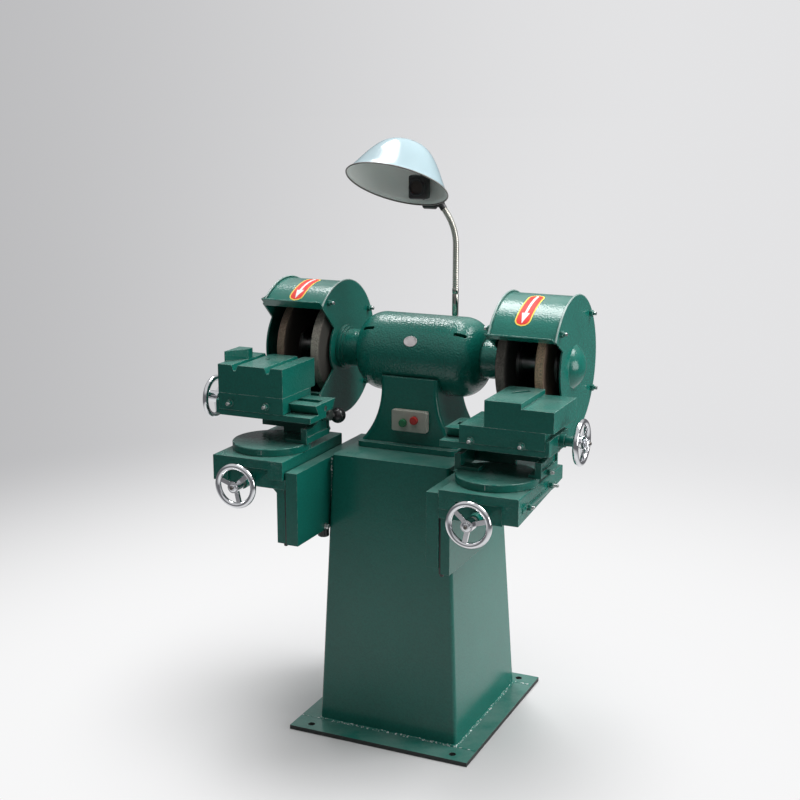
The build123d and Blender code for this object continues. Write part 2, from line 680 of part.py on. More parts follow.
def lever_ball():
    """Ball grip with the blind hole that holds the lever rod."""
    centre = lever_ball_centre()
    hub_middle = (CHEEK_IN - END_GAP - LEVER_HUB_L / 2, PIVOT_Y, PIVOT_Z)
    return Pos(*centre) * Sphere(LEVER_BALL_R) - rod(hub_middle, centre, LEVER_ROD_R + PRESS_GAP)


def cross_rail(side):
    """Tilting rail: base with cheek pockets and pivot lugs, dovetail on top, screw bearing at its end."""
    inner_face = CHEEK_IN + CHEEK_T + SLIDE_GAP
    outer_face = CHEEK_OUT - CHEEK_T - SLIDE_GAP
    pockets = [(RAIL_IN - 1, CHEEK_IN + CHEEK_T)]
    lugs = [inner_face]
    if side == "right":
        pockets.append((CHEEK_OUT - CHEEK_T - SWING_GAP, CHEEK_OUT))
        lugs.append(outer_face - RAIL_LUG_T)
    neck_rear = RAIL_TONGUE_Y + RAIL_TONGUE_NECK / 2
    base = across(outline((RAIL_FRONT, RAIL_BOTTOM), (neck_rear, RAIL_BOTTOM), (neck_rear, RAIL_FLANGE_TOP),
                          (RAIL_FRONT, RAIL_FLANGE_TOP)), RAIL_IN, RAIL_OUT)
    dovetail = Pos(RAIL_TONGUE_Y, RAIL_FLANGE_TOP) * tongue(RAIL_TONGUE_NECK, RAIL_TONGUE_H)
    body = base + across(dovetail, RAIL_IN, RAIL_OUT)
    pocket_top = PIVOT_Z + PIVOT_BOSS_R + SWING_GAP
    for start, end in pockets:
        body -= block(start, end + SWING_GAP, POCKET_FRONT, neck_rear + 1, RAIL_BOTTOM - 1, pocket_top)
    lug_root = (PIVOT_Y - 2 * RAIL_LUG_R, RAIL_BOTTOM + 1)
    lug = outline((PIVOT_Y + RAIL_LUG_R, PIVOT_Z), (PIVOT_Y - RAIL_LUG_R, PIVOT_Z), lug_root,
                  (lug_root[0], RAIL_FLANGE_TOP), (neck_rear, RAIL_FLANGE_TOP))
    lug += Pos(PIVOT_Y, PIVOT_Z) * Circle(RAIL_LUG_R)
    for start in lugs:
        body += across(lug, start, start + RAIL_LUG_T)
    body -= pivot_bar(RAIL_IN, RAIL_OUT, CLAMP_BOLT_R + RUN_GAP)
    half = NUT_HALF + SLOT_GAP
    body -= block(RAIL_IN + RAIL_TAIL_WALL, RAIL_OUT, RAIL_TONGUE_Y - half, RAIL_TONGUE_Y + half,
                  TABLE_SCREW_Z - TABLE_NUT_DROP - SLOT_GAP, RAIL_TOP + 1)
    end_face = outline((RAIL_FRONT, RAIL_BOTTOM), (CARRIAGE_REAR, RAIL_BOTTOM), (CARRIAGE_REAR, RAIL_TOP),
                       (RAIL_FRONT, RAIL_TOP))
    end = across(end_face, RAIL_OUT, RAIL_OUT + END_PLATE_T)
    end = fillet(end.edges().filter_by(Axis.X), 5.0)
    body += end
    body += table_bar(RAIL_OUT, END_BOSS_OUT, END_BOSS_R)
    body -= table_bar(RAIL_IN - 1, END_BOSS_OUT + 1, SCREW_R + RUN_GAP)
    return body


def carriage(side):
    """Slide with the dovetail groove and the table screw's nut."""
    bottom = RAIL_FLANGE_TOP + SLIDE_GAP
    inner = CARRIAGE_IN[side]
    body = block(inner, CARRIAGE_OUT, CARRIAGE_FRONT, CARRIAGE_REAR, bottom, CARRIAGE_TOP)
    groove = Pos(RAIL_TONGUE_Y, RAIL_FLANGE_TOP) * tongue(RAIL_TONGUE_NECK, RAIL_TONGUE_H, SLIDE_GAP)
    body -= across(groove, inner - 1, CARRIAGE_OUT + 1)
    body += block(TABLE_NUT_X - NUT_L / 2, TABLE_NUT_X + NUT_L / 2, RAIL_TONGUE_Y - NUT_HALF,
                  RAIL_TONGUE_Y + NUT_HALF, TABLE_SCREW_Z - TABLE_NUT_DROP, RAIL_TOP + SLIDE_GAP)
    return body - table_bar(inner, RAIL_OUT, SCREW_R + NUT_GAP)


def left_knife_holder():
    """Block with two knife grooves and a three-cornered stop beside the outer one."""
    inner = CARRIAGE_IN["left"]
    body = block(inner, HOLDER_OUT_LEFT, HOLDER_FRONT, HOLDER_REAR, CARRIAGE_TOP, HOLDER_TOP_LEFT)
    body += upward(outline((HOLDER_OUT_LEFT, JAW_FRONT), (HOLDER_OUT_LEFT, JAW_REAR), (JAW_IN, JAW_REAR)),
                   HOLDER_TOP_LEFT, HOLDER_TOP_LEFT + JAW_H)
    for x in GROOVE_X:
        half = GROOVE_W / 2
        floor_half = GROOVE_FLOOR / 2
        floor_z = HOLDER_TOP_LEFT - GROOVE_D
        sky = HOLDER_TOP_LEFT + JAW_H + 1
        vee = outline((x - half, sky), (x + half, sky), (x + half, HOLDER_TOP_LEFT),
                      (x + floor_half, floor_z), (x - floor_half, floor_z), (x - half, HOLDER_TOP_LEFT))
        body -= along(vee, HOLDER_FRONT - 1, HOLDER_REAR + 1)
    hole_floor = (CLAMP_HOLE_X, CLAMP_HOLE_Y, CARRIAGE_TOP + CLAMP_HOLE_FLOOR)
    hole = rod(hole_floor, (CLAMP_HOLE_X, CLAMP_HOLE_Y, HOLDER_TOP_LEFT + 1), CLAMP_HOLE_R)
    return body - hole


def right_knife_holder():
    """Low block with a raised plate and its slanted knife slot."""
    plate_top = HOLDER_TOP_RIGHT + PLATE_T_RIGHT
    steps = outline((HOLDER_IN_RIGHT, CARRIAGE_TOP), (HOLDER_OUT_RIGHT, CARRIAGE_TOP),
                    (HOLDER_OUT_RIGHT, HOLDER_TOP_RIGHT), (PLATE_OUT_RIGHT, HOLDER_TOP_RIGHT),
                    (PLATE_OUT_RIGHT, plate_top), (HOLDER_IN_RIGHT, plate_top))
    body = along(steps, HOLDER_FRONT, HOLDER_REAR)
    slot = Rot(0, 0, PLATE_SLOT_TURN) * SlotOverall(PLATE_SLOT_L, PLATE_SLOT_W)
    return body - upward(Pos(PLATE_SLOT_X, PLATE_SLOT_Y) * slot, HOLDER_TOP_RIGHT, plate_top + 1)


def table_screw():
    """Cross feed screw with its collar bush outside the end boss."""
    hub_in = SIDE_WHEEL_X - WHEEL_HUB_L / 2
    screw = table_bar(RAIL_IN + END_GAP, hub_in, SCREW_R)
    screw += table_bar(hub_in, hub_in + WHEEL_HUB_L, SCREW_END_R)
    screw += table_bar(END_BOSS_OUT + END_GAP, hub_in, BUSH_R)
    return screw


def side_hand_wheel():
    face = Plane(origin=(SIDE_WHEEL_X, RAIL_TONGUE_Y, TABLE_SCREW_Z), x_dir=(0, 1, 0), z_dir=(1, 0, 0))
    return face * hand_wheel(SPOKE_LEAN["side"])


def bell_curve(x0, radius, end, nose):
    """Crowned outline of an end bell, from its rim to its nose."""
    middle = ((x0 + end) / 2, (radius + nose) / 2)
    run = Vector(end - x0, nose - radius)
    lift = Vector(-run.Y, run.X).normalized() * BELL_CROWN
    return ThreePointArc((x0, radius), (middle[0] + lift.X, middle[1] + lift.Y), (end, nose))


def end_bell():
    """Domed motor end with its bearing seat, neck and stepped collar."""
    rim = MOTOR_HALF + BELL_STRAIGHT
    collar_in = GUARD_IN - COLLAR_T
    step_in = collar_in - COLLAR_STEP_T
    seat_r = BEARING_R + PRESS_GAP
    seat_end = BEARING_X + BEARING_W
    bore_r = SHAFT_R + NECK_BORE_GAP
    inner_r = MOTOR_R - MOTOR_WALL
    inner_nose = seat_r + MOTOR_WALL
    outer = Line((MOTOR_HALF, MOTOR_R), (rim, MOTOR_R)) + bell_curve(rim, MOTOR_R, BELL_END, BELL_NOSE_R)
    steps = Polyline((BELL_END, BELL_NOSE_R), (BELL_END, NECK_R), (step_in, NECK_R),
                     (step_in, COLLAR_STEP_R), (collar_in, COLLAR_STEP_R), (collar_in, COLLAR_R),
                     (GUARD_IN, COLLAR_R), (GUARD_IN, bore_r), (seat_end, bore_r), (seat_end, seat_r),
                     (BEARING_X, seat_r), (BEARING_X, inner_nose))
    inside = bell_curve(rim, inner_r, BEARING_X, inner_nose)
    rim_face = Polyline((rim, inner_r), (MOTOR_HALF, inner_r), (MOTOR_HALF, MOTOR_R))
    bell = revolve(Plane.XY * make_face(outer + steps + inside + rim_face), axis=Axis.X)
    vent = upward(Pos(VENT_X, 0) * SlotOverall(VENT_L, VENT_W), BELL_NOSE_R, MOTOR_R)
    for tilt in (-VENT_TILT, VENT_TILT):
        bell -= Rot(tilt, 0, 0) * vent
    return bell


def motor_housing():
    return ring(-MOTOR_HALF, MOTOR_HALF, MOTOR_R, MOTOR_R - MOTOR_WALL)


def stator_core():
    return ring(-STATOR_HALF, STATOR_HALF, MOTOR_R - MOTOR_WALL - PRESS_GAP, STATOR_R_IN)


def rotor_core():
    return ring(-ROTOR_HALF, ROTOR_HALF, ROTOR_R, SHAFT_CORE_R + PRESS_GAP)


def shaft_end():
    return OUTER_WHEEL_X + OUTER_WHEEL_T + FLANGE_T + NUT_T + 4.0


def spindle_shaft():
    """Stepped shaft with a shoulder for each inner wheel flange."""
    seat = INNER_WHEEL_X - FLANGE_T
    half = [(0, 0), (0, SHAFT_CORE_R), (SHAFT_CORE_HALF, SHAFT_CORE_R), (SHAFT_CORE_HALF, SHAFT_R),
            (seat - SHOULDER_T, SHAFT_R), (seat - SHOULDER_T, SHOULDER_R), (seat, SHOULDER_R),
            (seat, SHAFT_R), (shaft_end(), SHAFT_R), (shaft_end(), 0)]
    one = turned(*half)
    return one + mirror(one, about=Plane.YZ)


def both_ends(shape):
    """A piece of the right-hand end with its mirror image."""
    return [shape, mirror(shape, about=Plane.YZ)]


def spindle_bearings():
    return both_ends(ring(BEARING_X, BEARING_X + BEARING_W, BEARING_R, SHAFT_R + RUN_GAP))


def grinding_wheel(start, thickness):
    wheel = ring(start, start + thickness, WHEEL_R, SHAFT_R + PRESS_GAP)
    rims = wheel.edges().filter_by(GeomType.CIRCLE).filter_by(lambda edge: edge.radius > FLANGE_R)
    return chamfer(rims, WHEEL_EDGE)


def flange(start, wheel_side):
    """Wheel flange with its clamping face relieved inside the rim."""
    body = ring(start, start + FLANGE_T, FLANGE_R, SHAFT_R + PRESS_GAP)
    face = start + FLANGE_T if wheel_side > 0 else start
    relief_r = FLANGE_R * 0.75
    return body - ring(face - FLANGE_RELIEF, face + FLANGE_RELIEF, relief_r, SHAFT_R + PRESS_GAP)


def wheel_flanges():
    inner_end = INNER_WHEEL_X + INNER_WHEEL_T
    outer_end = OUTER_WHEEL_X + OUTER_WHEEL_T
    flanges = []
    for start, wheel_side in ((INNER_WHEEL_X - FLANGE_T, 1), (inner_end, -1), (OUTER_WHEEL_X - FLANGE_T, 1),
                              (outer_end, -1)):
        flanges += both_ends(flange(start, wheel_side))
    return flanges


def wheel_spacers():
    start = INNER_WHEEL_X + INNER_WHEEL_T + FLANGE_T
    return both_ends(ring(start, OUTER_WHEEL_X - FLANGE_T, SPACER_R, SHAFT_R + PRESS_GAP))


def spindle_nuts():
    start = OUTER_WHEEL_X + OUTER_WHEEL_T + FLANGE_T
    face = RegularPolygon(NUT_FLATS / 2, 6, major_radius=False) - Circle(SHAFT_R + PRESS_GAP)
    return both_ends(across(face, start, start + NUT_T))


def towards(angle, radius):
    """Point of a guard's YZ outline at an angle from straight up towards the front."""
    return (-radius * sin(radians(angle)), radius * cos(radians(angle)))


def wedge(top, bottom, radius):
    """Pie slice between two angles."""
    middle = (top + bottom) / 2
    return outline((0, 0), towards(top, radius), towards(middle, radius), towards(bottom, radius))


def mouth_wedge():
    return wedge(MOUTH_TOP, MOUTH_BOTTOM, 3 * GUARD_R)


def guard_disc(notch_r):
    """Guard side plate with its open sector."""
    return Circle(GUARD_R) - (mouth_wedge() - Circle(notch_r))


def stud_points():
    return [towards(angle, STUD_PITCH_R) for angle in STUD_ANGLES]


def guard_shell():
    """Inner side plate, drum and the lip along the mouth's upper edge."""
    drum_end = GUARD_OUT - GUARD_PLATE
    plate = guard_disc(NOTCH_R_IN) - Circle(GUARD_HOLE_R)
    holes = [Pos(*point) * Circle(STUD_R + PRESS_GAP) for point in stud_points()]
    drum = Circle(DRUM_R) - Circle(DRUM_R - GUARD_SHEET) - mouth_wedge()
    body = across(plate - holes, GUARD_IN, GUARD_IN + GUARD_PLATE) + across(drum, GUARD_IN, drum_end)
    root = DRUM_R - GUARD_SHEET
    visor = Pos(GUARD_SHEET / 2, root + VISOR_H / 2) * Rectangle(GUARD_SHEET, VISOR_H)
    return body + across(Rot(0, 0, MOUTH_TOP) * visor, GUARD_IN, drum_end)


def guard_cover():
    """Outer side plate with its hollow dome over the spindle nut."""
    plate = guard_disc(NOTCH_R_OUT) - Circle(DOME_R - DOME_WALL)
    holes = [Pos(*point) * Circle(STUD_R + PRESS_GAP) for point in stud_points()]
    cover = across(plate - holes, GUARD_OUT - GUARD_PLATE, GUARD_OUT)
    return cover + guard_dome()


def dome_curve(radius, height):
    """Half outline of a spherical cap from the cover's face to the axis."""
    ball_r = (radius ** 2 + height ** 2) / (2 * height)
    centre = GUARD_OUT + height - ball_r
    middle = asin(radius / ball_r) / 2
    return ThreePointArc((GUARD_OUT, radius), (centre + ball_r * cos(middle), ball_r * sin(middle)),
                         (GUARD_OUT + height, 0))


def guard_dome():
    """Thin cap about the X axis, let a little into the cover."""
    root = GUARD_OUT - GUARD_PLATE / 2
    inner_r = DOME_R - DOME_WALL / 2
    inner_h = DOME_H - DOME_WALL
    base = Polyline((GUARD_OUT, inner_r), (root, inner_r), (root, DOME_R), (GUARD_OUT, DOME_R))
    tip = Line((GUARD_OUT + DOME_H, 0), (GUARD_OUT + inner_h, 0))
    face = make_face(dome_curve(DOME_R, DOME_H) + tip + dome_curve(inner_r, inner_h) + base)
    return revolve(Plane.XY * face, axis=Axis.X)


def guard_studs():
    """Tie studs across one guard, each with a nut at both ends."""
    studs = []
    length_in = GUARD_IN - STUD_NUT_T
    length_out = GUARD_OUT + STUD_NUT_T
    for point in stud_points():
        stud = across(Pos(*point) * Circle(STUD_R), length_in - STUD_TAIL, length_out + STUD_TAIL)
        nut = Pos(*point) * RegularPolygon(STUD_NUT_FLATS / 2, 6, major_radius=False)
        studs.append(stud + across(nut, length_in, GUARD_IN) + across(nut, GUARD_OUT, length_out))
    return studs


def pedestal(z0, z1):
    """Post whose sides sweep out to the foot plate in round hollows, with rounded corners."""
    half = PEDESTAL_X / 2
    wide = half + PEDESTAL_FLARE
    waist = z0 + PEDESTAL_FLARE_H
    sweep_r = (PEDESTAL_FLARE ** 2 + PEDESTAL_FLARE_H ** 2) / (2 * PEDESTAL_FLARE)
    turn = asin(PEDESTAL_FLARE_H / sweep_r) / 2
    middle = (half + sweep_r * (1 - cos(turn)), waist - sweep_r * sin(turn))
    right = ThreePointArc((wide, z0), middle, (half, waist))
    left = ThreePointArc((-half, waist), (-middle[0], middle[1]), (-wide, z0))
    top = Polyline((half, waist), (half, z1), (-half, z1), (-half, waist))
    face = make_face(right + top + left + Line((-wide, z0), (wide, z0)))
    post = along(Pos(HEAD_X, 0) * face, PEDESTAL_FRONT, PEDESTAL_FRONT + PEDESTAL_DEPTH)
    corners = post.edges().filter_by(Axis.X, reverse=True).filter_by(Axis.Y, reverse=True)
    return fillet(corners, PEDESTAL_ROUND)


def motor_base():
    """Foot casting: bolted plate, swept pedestal and the motor's cradle."""
    plate_top = COLUMN_TOP + FOOT_PLATE_T
    plate_middle = (FOOT_PLATE_FRONT + FOOT_PLATE_REAR) / 2
    plate = RectangleRounded(FOOT_PLATE_X, FOOT_PLATE_REAR - FOOT_PLATE_FRONT, FOOT_PLATE_ROUND)
    body = upward(Pos(HEAD_X, plate_middle) * plate, COLUMN_TOP, plate_top)
    body += pedestal(plate_top, AXIS_Z - SEAT_WRAP)
    body -= Pos(HEAD_X, AXIS_Y, AXIS_Z) * ring(-GUARD_IN, GUARD_IN, MOTOR_R + PRESS_GAP, 0.0)
    for x, z in button_points():
        pocket_end = PEDESTAL_FRONT + BUTTON_TRAVEL + SWING_GAP
        body -= rod((x, PEDESTAL_FRONT - 1, z), (x, pocket_end, z), BUTTON_R + SWING_GAP)
    return body


def button_points():
    """Places of the start and stop buttons on the switch plate."""
    start = (SWITCH_CENTRE_X - BUTTON_PITCH_X / 2, SWITCH_CENTRE_Z - BUTTON_PITCH_Z / 2)
    stop = (SWITCH_CENTRE_X + BUTTON_PITCH_X / 2, SWITCH_CENTRE_Z + BUTTON_PITCH_Z / 2)
    return (start, stop)


def switch_plate():
    """Shallow switch box on the pedestal's front, with its two button holes."""
    front = PEDESTAL_FRONT - SWITCH_T
    face = Pos(SWITCH_CENTRE_X, SWITCH_CENTRE_Z) * RectangleRounded(SWITCH_X, SWITCH_Z, SWITCH_ROUND)
    body = along(face, front, PEDESTAL_FRONT)
    body = fillet(body.edges().group_by(Axis.Y)[0], 2.0)
    for x, z in button_points():
        body -= rod((x, front - 1, z), (x, PEDESTAL_FRONT + 1, z), BUTTON_R + NUT_GAP)
    return body


def push_button(point):
    front = PEDESTAL_FRONT - SWITCH_T - BUTTON_OUT
    button = rod((point[0], front, point[1]), (point[0], front + BUTTON_L, point[1]), BUTTON_R)
    return fillet(button.edges().group_by(Axis.Y)[0], 2.0)


def lamp_stem():
    """Lamp tube screwed into a boss on the column's lid."""
    boss_top = COLUMN_TOP + STEM_BASE_H
    tube = upward(Circle(STEM_R), COLUMN_TOP, STEM_TOP) + upward(Circle(STEM_BASE_R), COLUMN_TOP, boss_top)
    return Pos(LAMP_X, LAMP_Y, 0) * (tube - upward(Circle(STEM_BORE_R), boss_top, STEM_TOP + 1))


def hose_path():
    """Straight up from the stem, one bend to the left and a short straight end at the knuckle's ferrule."""
    lean = radians(HOSE_BEND)
    end_x = KNUCKLE_X + FERRULE_L * sin(lean)
    end_z = KNUCKLE_Z - FERRULE_L * cos(lean)
    bend_x = end_x + HOSE_END_RUN * sin(lean)
    bend_z = end_z - HOSE_END_RUN * cos(lean)
    radius = (LAMP_X - bend_x) / (1 - cos(lean))
    return radius, bend_z - radius * sin(lean)


def hose_frame(distance):
    """Place and lean of the hose at a distance along it."""
    radius, bend_start = hose_path()
    rise = bend_start - STEM_TOP
    lean = radians(HOSE_BEND)
    if distance <= rise:
        return (LAMP_X, LAMP_Y, STEM_TOP + distance), 0.0
    turn = min((distance - rise) / radius, lean)
    rest = distance - rise - turn * radius
    x = LAMP_X - radius * (1 - cos(turn)) - rest * sin(turn)
    z = bend_start + radius * sin(turn) + rest * cos(turn)
    return (x, LAMP_Y, z), turn


def hose_circle(distance, radius):
    centre, lean = hose_frame(distance)
    plane = Plane(origin=centre, x_dir=(0, 1, 0), z_dir=(-sin(lean), 0, cos(lean)))
    return plane * Circle(radius)


def gooseneck():
    """Ribbed flexible hose with its bore."""
    radius, bend_start = hose_path()
    length = bend_start - STEM_TOP + radius * radians(HOSE_BEND) + HOSE_END_RUN
    pitch = length / HOSE_RIBS
    sections = []
    for rib in range(HOSE_RIBS):
        for share, r in ((0.0, HOSE_GROOVE_R), (0.2, HOSE_R), (0.7, HOSE_R), (0.9, HOSE_GROOVE_R)):
            sections.append(hose_circle((rib + share) * pitch, r))
    sections.append(hose_circle(length, HOSE_GROOVE_R))
    hose = loft(sections, ruled=True)
    bore_rise = rod((LAMP_X, LAMP_Y, STEM_TOP - 1), (LAMP_X, LAMP_Y, bend_start), HOSE_BORE_R)
    centre = (LAMP_X - radius, LAMP_Y, bend_start)
    pivot = Axis(centre, (0, -1, 0))
    bend_face = hose_circle(bend_start - STEM_TOP, HOSE_BORE_R)
    bore_bend = revolve(bend_face, axis=pivot, revolution_arc=HOSE_BEND)
    last = hose_frame(length - HOSE_END_RUN)[0]
    tip = hose_frame(length + 1)[0]
    return hose - bore_rise - bore_bend - rod(last, tip, HOSE_BORE_R)


def lamp_knuckle():
    """Ball elbow between the hose and the lamp's hinge pin."""
    lean = radians(HOSE_BEND)
    centre = (KNUCKLE_X, LAMP_Y, KNUCKLE_Z)
    ferrule_end = (KNUCKLE_X + FERRULE_L * sin(lean), LAMP_Y, KNUCKLE_Z - FERRULE_L * cos(lean))
    cap_face = HOLDER_X + CAP_R
    body = Pos(*centre) * Sphere(KNUCKLE_R) + rod(ferrule_end, centre, FERRULE_R)
    body += rod(centre, (cap_face + END_GAP, LAMP_Y, KNUCKLE_Z), FERRULE_R)
    return body + rod(centre, (cap_face - HINGE_PIN_L, LAMP_Y, KNUCKLE_Z), HINGE_PIN_R)


def holder_plane(distance):
    """Plane square to the lamp holder's axis, a distance in front of the hinge."""
    rise = radians(HOLDER_RISE)
    axis = (0, -cos(rise), sin(rise))
    origin = (HOLDER_X, LAMP_Y + axis[1] * distance, KNUCKLE_Z + axis[2] * distance)
    return Plane(origin=origin, x_dir=(1, 0, 0), z_dir=axis)


def lamp_holder():
    """Side-entry lamp holder with its empty socket."""
    body = extrude(holder_plane(-CAP_BACK) * Circle(CAP_R), CAP_BACK + SOCKET_START)
    body = fillet(body.edges().group_by(Axis.Y)[-1], 4.0)
    body += rod((HOLDER_X, LAMP_Y, KNUCKLE_Z), (HOLDER_X + CAP_R, LAMP_Y, KNUCKLE_Z), FERRULE_R)
    body += extrude(holder_plane(SOCKET_START) * Circle(SOCKET_R), SOCKET_END - SOCKET_START)
    body -= extrude(holder_plane(SOCKET_END - SOCKET_BORE_L) * Circle(SOCKET_BORE_R), SOCKET_BORE_L + 1)
    body -= extrude(holder_plane(SOCKET_END - SOCKET_MOUTH_L) * Circle(SOCKET_MOUTH_R), SOCKET_MOUTH_L + 1)
    cap_face = HOLDER_X + CAP_R
    pin_tip = (cap_face - HINGE_PIN_L - END_GAP, LAMP_Y, KNUCKLE_Z)
    return body - rod((cap_face + 1, LAMP_Y, KNUCKLE_Z), pin_tip, HINGE_PIN_R + RUN_GAP)


def shade_profile(radius, height, crown):
    """Half section of the shade's bowl, with the rim at z = 0."""
    shoulder = (radius * 0.83, height * 0.60)
    return Line((radius, 0), (radius - 2, SHADE_BRIM)) + ThreePointArc((radius - 2, SHADE_BRIM), shoulder,
                                                                      (crown, height))


def lamp_shade():
    """Spun bowl with a flat crown, let in at the back around the clamp collar of the lamp holder."""
    crown_in = SHADE_CROWN_R - SHADE_WALL
    outer_end = Polyline((SHADE_CROWN_R, SHADE_H), (0, SHADE_H), (0, SHADE_H - SHADE_WALL),
                         (crown_in, SHADE_H - SHADE_WALL))
    inner = shade_profile(SHADE_R - SHADE_WALL, SHADE_H - SHADE_WALL, crown_in)
    rim = Line((SHADE_R - SHADE_WALL, 0), (SHADE_R, 0))
    face = make_face(shade_profile(SHADE_R, SHADE_H, SHADE_CROWN_R) + outer_end + inner + rim)
    bowl = revolve(Plane.XZ * face, axis=Axis.Z)
    bowl = Pos(SHADE_X, SHADE_Y, SHADE_Z) * Rot(-SHADE_TILT, 0, 0) * bowl
    collar_r = SOCKET_R + PRESS_GAP
    bowl += extrude(holder_plane(SHADE_COLLAR_AT) * Circle(collar_r + SHADE_WALL), SHADE_COLLAR_L)
    return bowl - extrude(holder_plane(0) * Circle(collar_r), SOCKET_END)


def head_side(shape, side):
    """Puts a piece of the motor head at its end of the spindle."""
    placed = shape if side == "right" else mirror(shape, about=Plane.YZ)
    return Pos(HEAD_X, AXIS_Y, AXIS_Z) * placed


def on_axis(shapes):
    """Puts pieces of the spindle line on its axis."""
    group = shapes if isinstance(shapes, list) else [shapes]
    return [Pos(HEAD_X, AXIS_Y, AXIS_Z) * shape for shape in group]


def turned_guard(shape, side):
    return head_side(Rot(GUARD_TURN[side], 0, 0) * shape, side)


def station(shapes, side):
    """Puts the solids of a work station's piece at its side and at its rest height."""
    group = shapes if isinstance(shapes, list) else [shapes]
    return [fixed_side(Pos(0, 0, REST_LIFT[side]) * shape, side) for shape in group]


def fixed_side(shape, side):
    return shape if side == "right" else mirror(shape, about=Plane.YZ)


def machine():
    """Every sub-part by its node name."""
    start_point, stop_point = button_points()
    nodes = {
        "base_plate": base_plate(),
        "column": column(),
        "motor_base": motor_base(),
        "motor_housing": on_axis(motor_housing()),
        "stator_core": on_axis(stator_core()),
        "rotor_core": on_axis(rotor_core()),
        "spindle_shaft": on_axis(spindle_shaft()),
        "spindle_bearings": on_axis(spindle_bearings()),
        "wheel_flanges": on_axis(wheel_flanges()),
        "wheel_spacers": on_axis(wheel_spacers()),
        "spindle_nuts": on_axis(spindle_nuts()),
        "switch_plate": switch_plate(),
        "start_button": push_button(start_point),
        "stop_button": push_button(stop_point),
        "lamp_stem": lamp_stem(),
        "gooseneck": gooseneck(),
        "lamp_knuckle": lamp_knuckle(),
        "lamp_holder": lamp_holder(),
        "lamp_shade": lamp_shade(),
    }
    nodes["guard_studs"] = []
    holders = {"left": left_knife_holder(), "right": right_knife_holder()}
    for side in SIDES:
        nodes[side + "_end_bell"] = head_side(end_bell(), side)
        nodes[side + "_inner_wheel"] = head_side(grinding_wheel(INNER_WHEEL_X, INNER_WHEEL_T), side)
        nodes[side + "_outer_wheel"] = head_side(grinding_wheel(OUTER_WHEEL_X, OUTER_WHEEL_T), side)
        nodes[side + "_guard_shell"] = turned_guard(guard_shell(), side)
        nodes[side + "_guard_cover"] = turned_guard(guard_cover(), side)
        nodes["guard_studs"] += [turned_guard(stud, side) for stud in guard_studs()]
        nodes[side + "_wing"] = fixed_side(wing(), side)
        nodes[side + "_elevating_screw"] = fixed_side(elevating_screw(), side)
        moving = {
            "knee": knee(),
            "saddle": saddle(),
            "saddle_screw": saddle_screw(),
            "front_hand_wheel": front_hand_wheel(),
            "turntable": turntable(),
            "tilt_bracket": tilt_bracket(side),
            "tilt_clamp": tilt_clamp(side),
            "lever_ball": lever_ball(),
            "cross_rail": cross_rail(side),
            "carriage": carriage(side),
            "knife_holder": holders[side],
            "table_screw": table_screw(),
            "side_hand_wheel": side_hand_wheel(),
        }
        for name, shape in moving.items():
            nodes[side + "_" + name] = station(shape, side)
    return nodes


def solids_of(shape):
    """The separate solids of a node."""
    group = shape if isinstance(shape, list) else [shape]
    return [solid for piece in group for solid in piece.solids()]


def write_parts():
    os.makedirs("parts", exist_ok=True)
    for name, shape in machine().items():
        found = solids_of(shape)
        export_step(found[0] if len(found) == 1 else Compound(children=found), f"parts/{name}.step")


write_parts()
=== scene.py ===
from math import cos, pi, radians, sin, sqrt, tau

import bmesh
import bpy
from bpy.props import FloatProperty, FloatVectorProperty, IntProperty, PointerProperty
from mathutils import Matrix, Vector
from mathutils.geometry import interpolate_bezier


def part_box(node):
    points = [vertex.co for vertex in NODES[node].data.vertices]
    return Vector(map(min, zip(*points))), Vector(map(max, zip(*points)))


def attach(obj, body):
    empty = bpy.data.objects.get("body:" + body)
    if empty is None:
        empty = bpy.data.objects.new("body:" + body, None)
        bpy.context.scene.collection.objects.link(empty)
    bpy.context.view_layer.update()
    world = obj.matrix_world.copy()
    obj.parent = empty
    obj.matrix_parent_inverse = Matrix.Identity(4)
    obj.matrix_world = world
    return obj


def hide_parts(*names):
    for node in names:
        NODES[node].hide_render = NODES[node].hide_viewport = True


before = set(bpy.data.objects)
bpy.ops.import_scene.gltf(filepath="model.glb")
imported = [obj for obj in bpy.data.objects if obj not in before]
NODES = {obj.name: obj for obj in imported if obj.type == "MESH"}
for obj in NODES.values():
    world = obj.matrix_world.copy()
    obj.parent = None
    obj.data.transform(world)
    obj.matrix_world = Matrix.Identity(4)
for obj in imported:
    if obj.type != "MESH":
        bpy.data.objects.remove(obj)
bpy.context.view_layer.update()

bl_info = {
    "name": "Knife grinding machine",
    "version": (1, 0, 0),
    "blender": (4, 5, 0),
    "location": "View3D > Sidebar > Grinder",
    "description": "Finishes, small fittings and studio for the knife grinding machine",
    "category": "Object",
}

MM = 0.001
SIDES = ("left", "right")
SIGN = {"left": -1, "right": 1}
UP = Vector((0, 0, 1))
FRONT = Vector((0, -1, 0))
BACK = Vector((0, 1, 0))


def middle(name):
    """Middle of a CAD node's box."""
    low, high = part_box(name)
    return (low + high) / 2


def reach(name, axis, low_z, high_z):
    """Least and greatest coordinate of a CAD node's points between two heights."""
    values = [vertex.co[axis] for vertex in NODES[name].data.vertices if low_z <= vertex.co.z <= high_z]
    return min(values), max(values)


def outward(side):
    """Direction from the middle of the machine to a station's outer end."""
    return Vector((SIGN[side], 0, 0))


def outer_x(name, side):
    """Outer end of a station's node."""
    low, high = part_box(name)
    return high.x if side == "right" else low.x


# Places on the CAD frame that the fittings are set out from
SPINDLE = middle("spindle_shaft")
MOTOR_X = middle("motor_housing").x
MOTOR_R = (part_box("motor_housing")[1].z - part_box("motor_housing")[0].z) / 2
STEM = middle("lamp_stem")
STEM_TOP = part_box("lamp_stem")[1].z

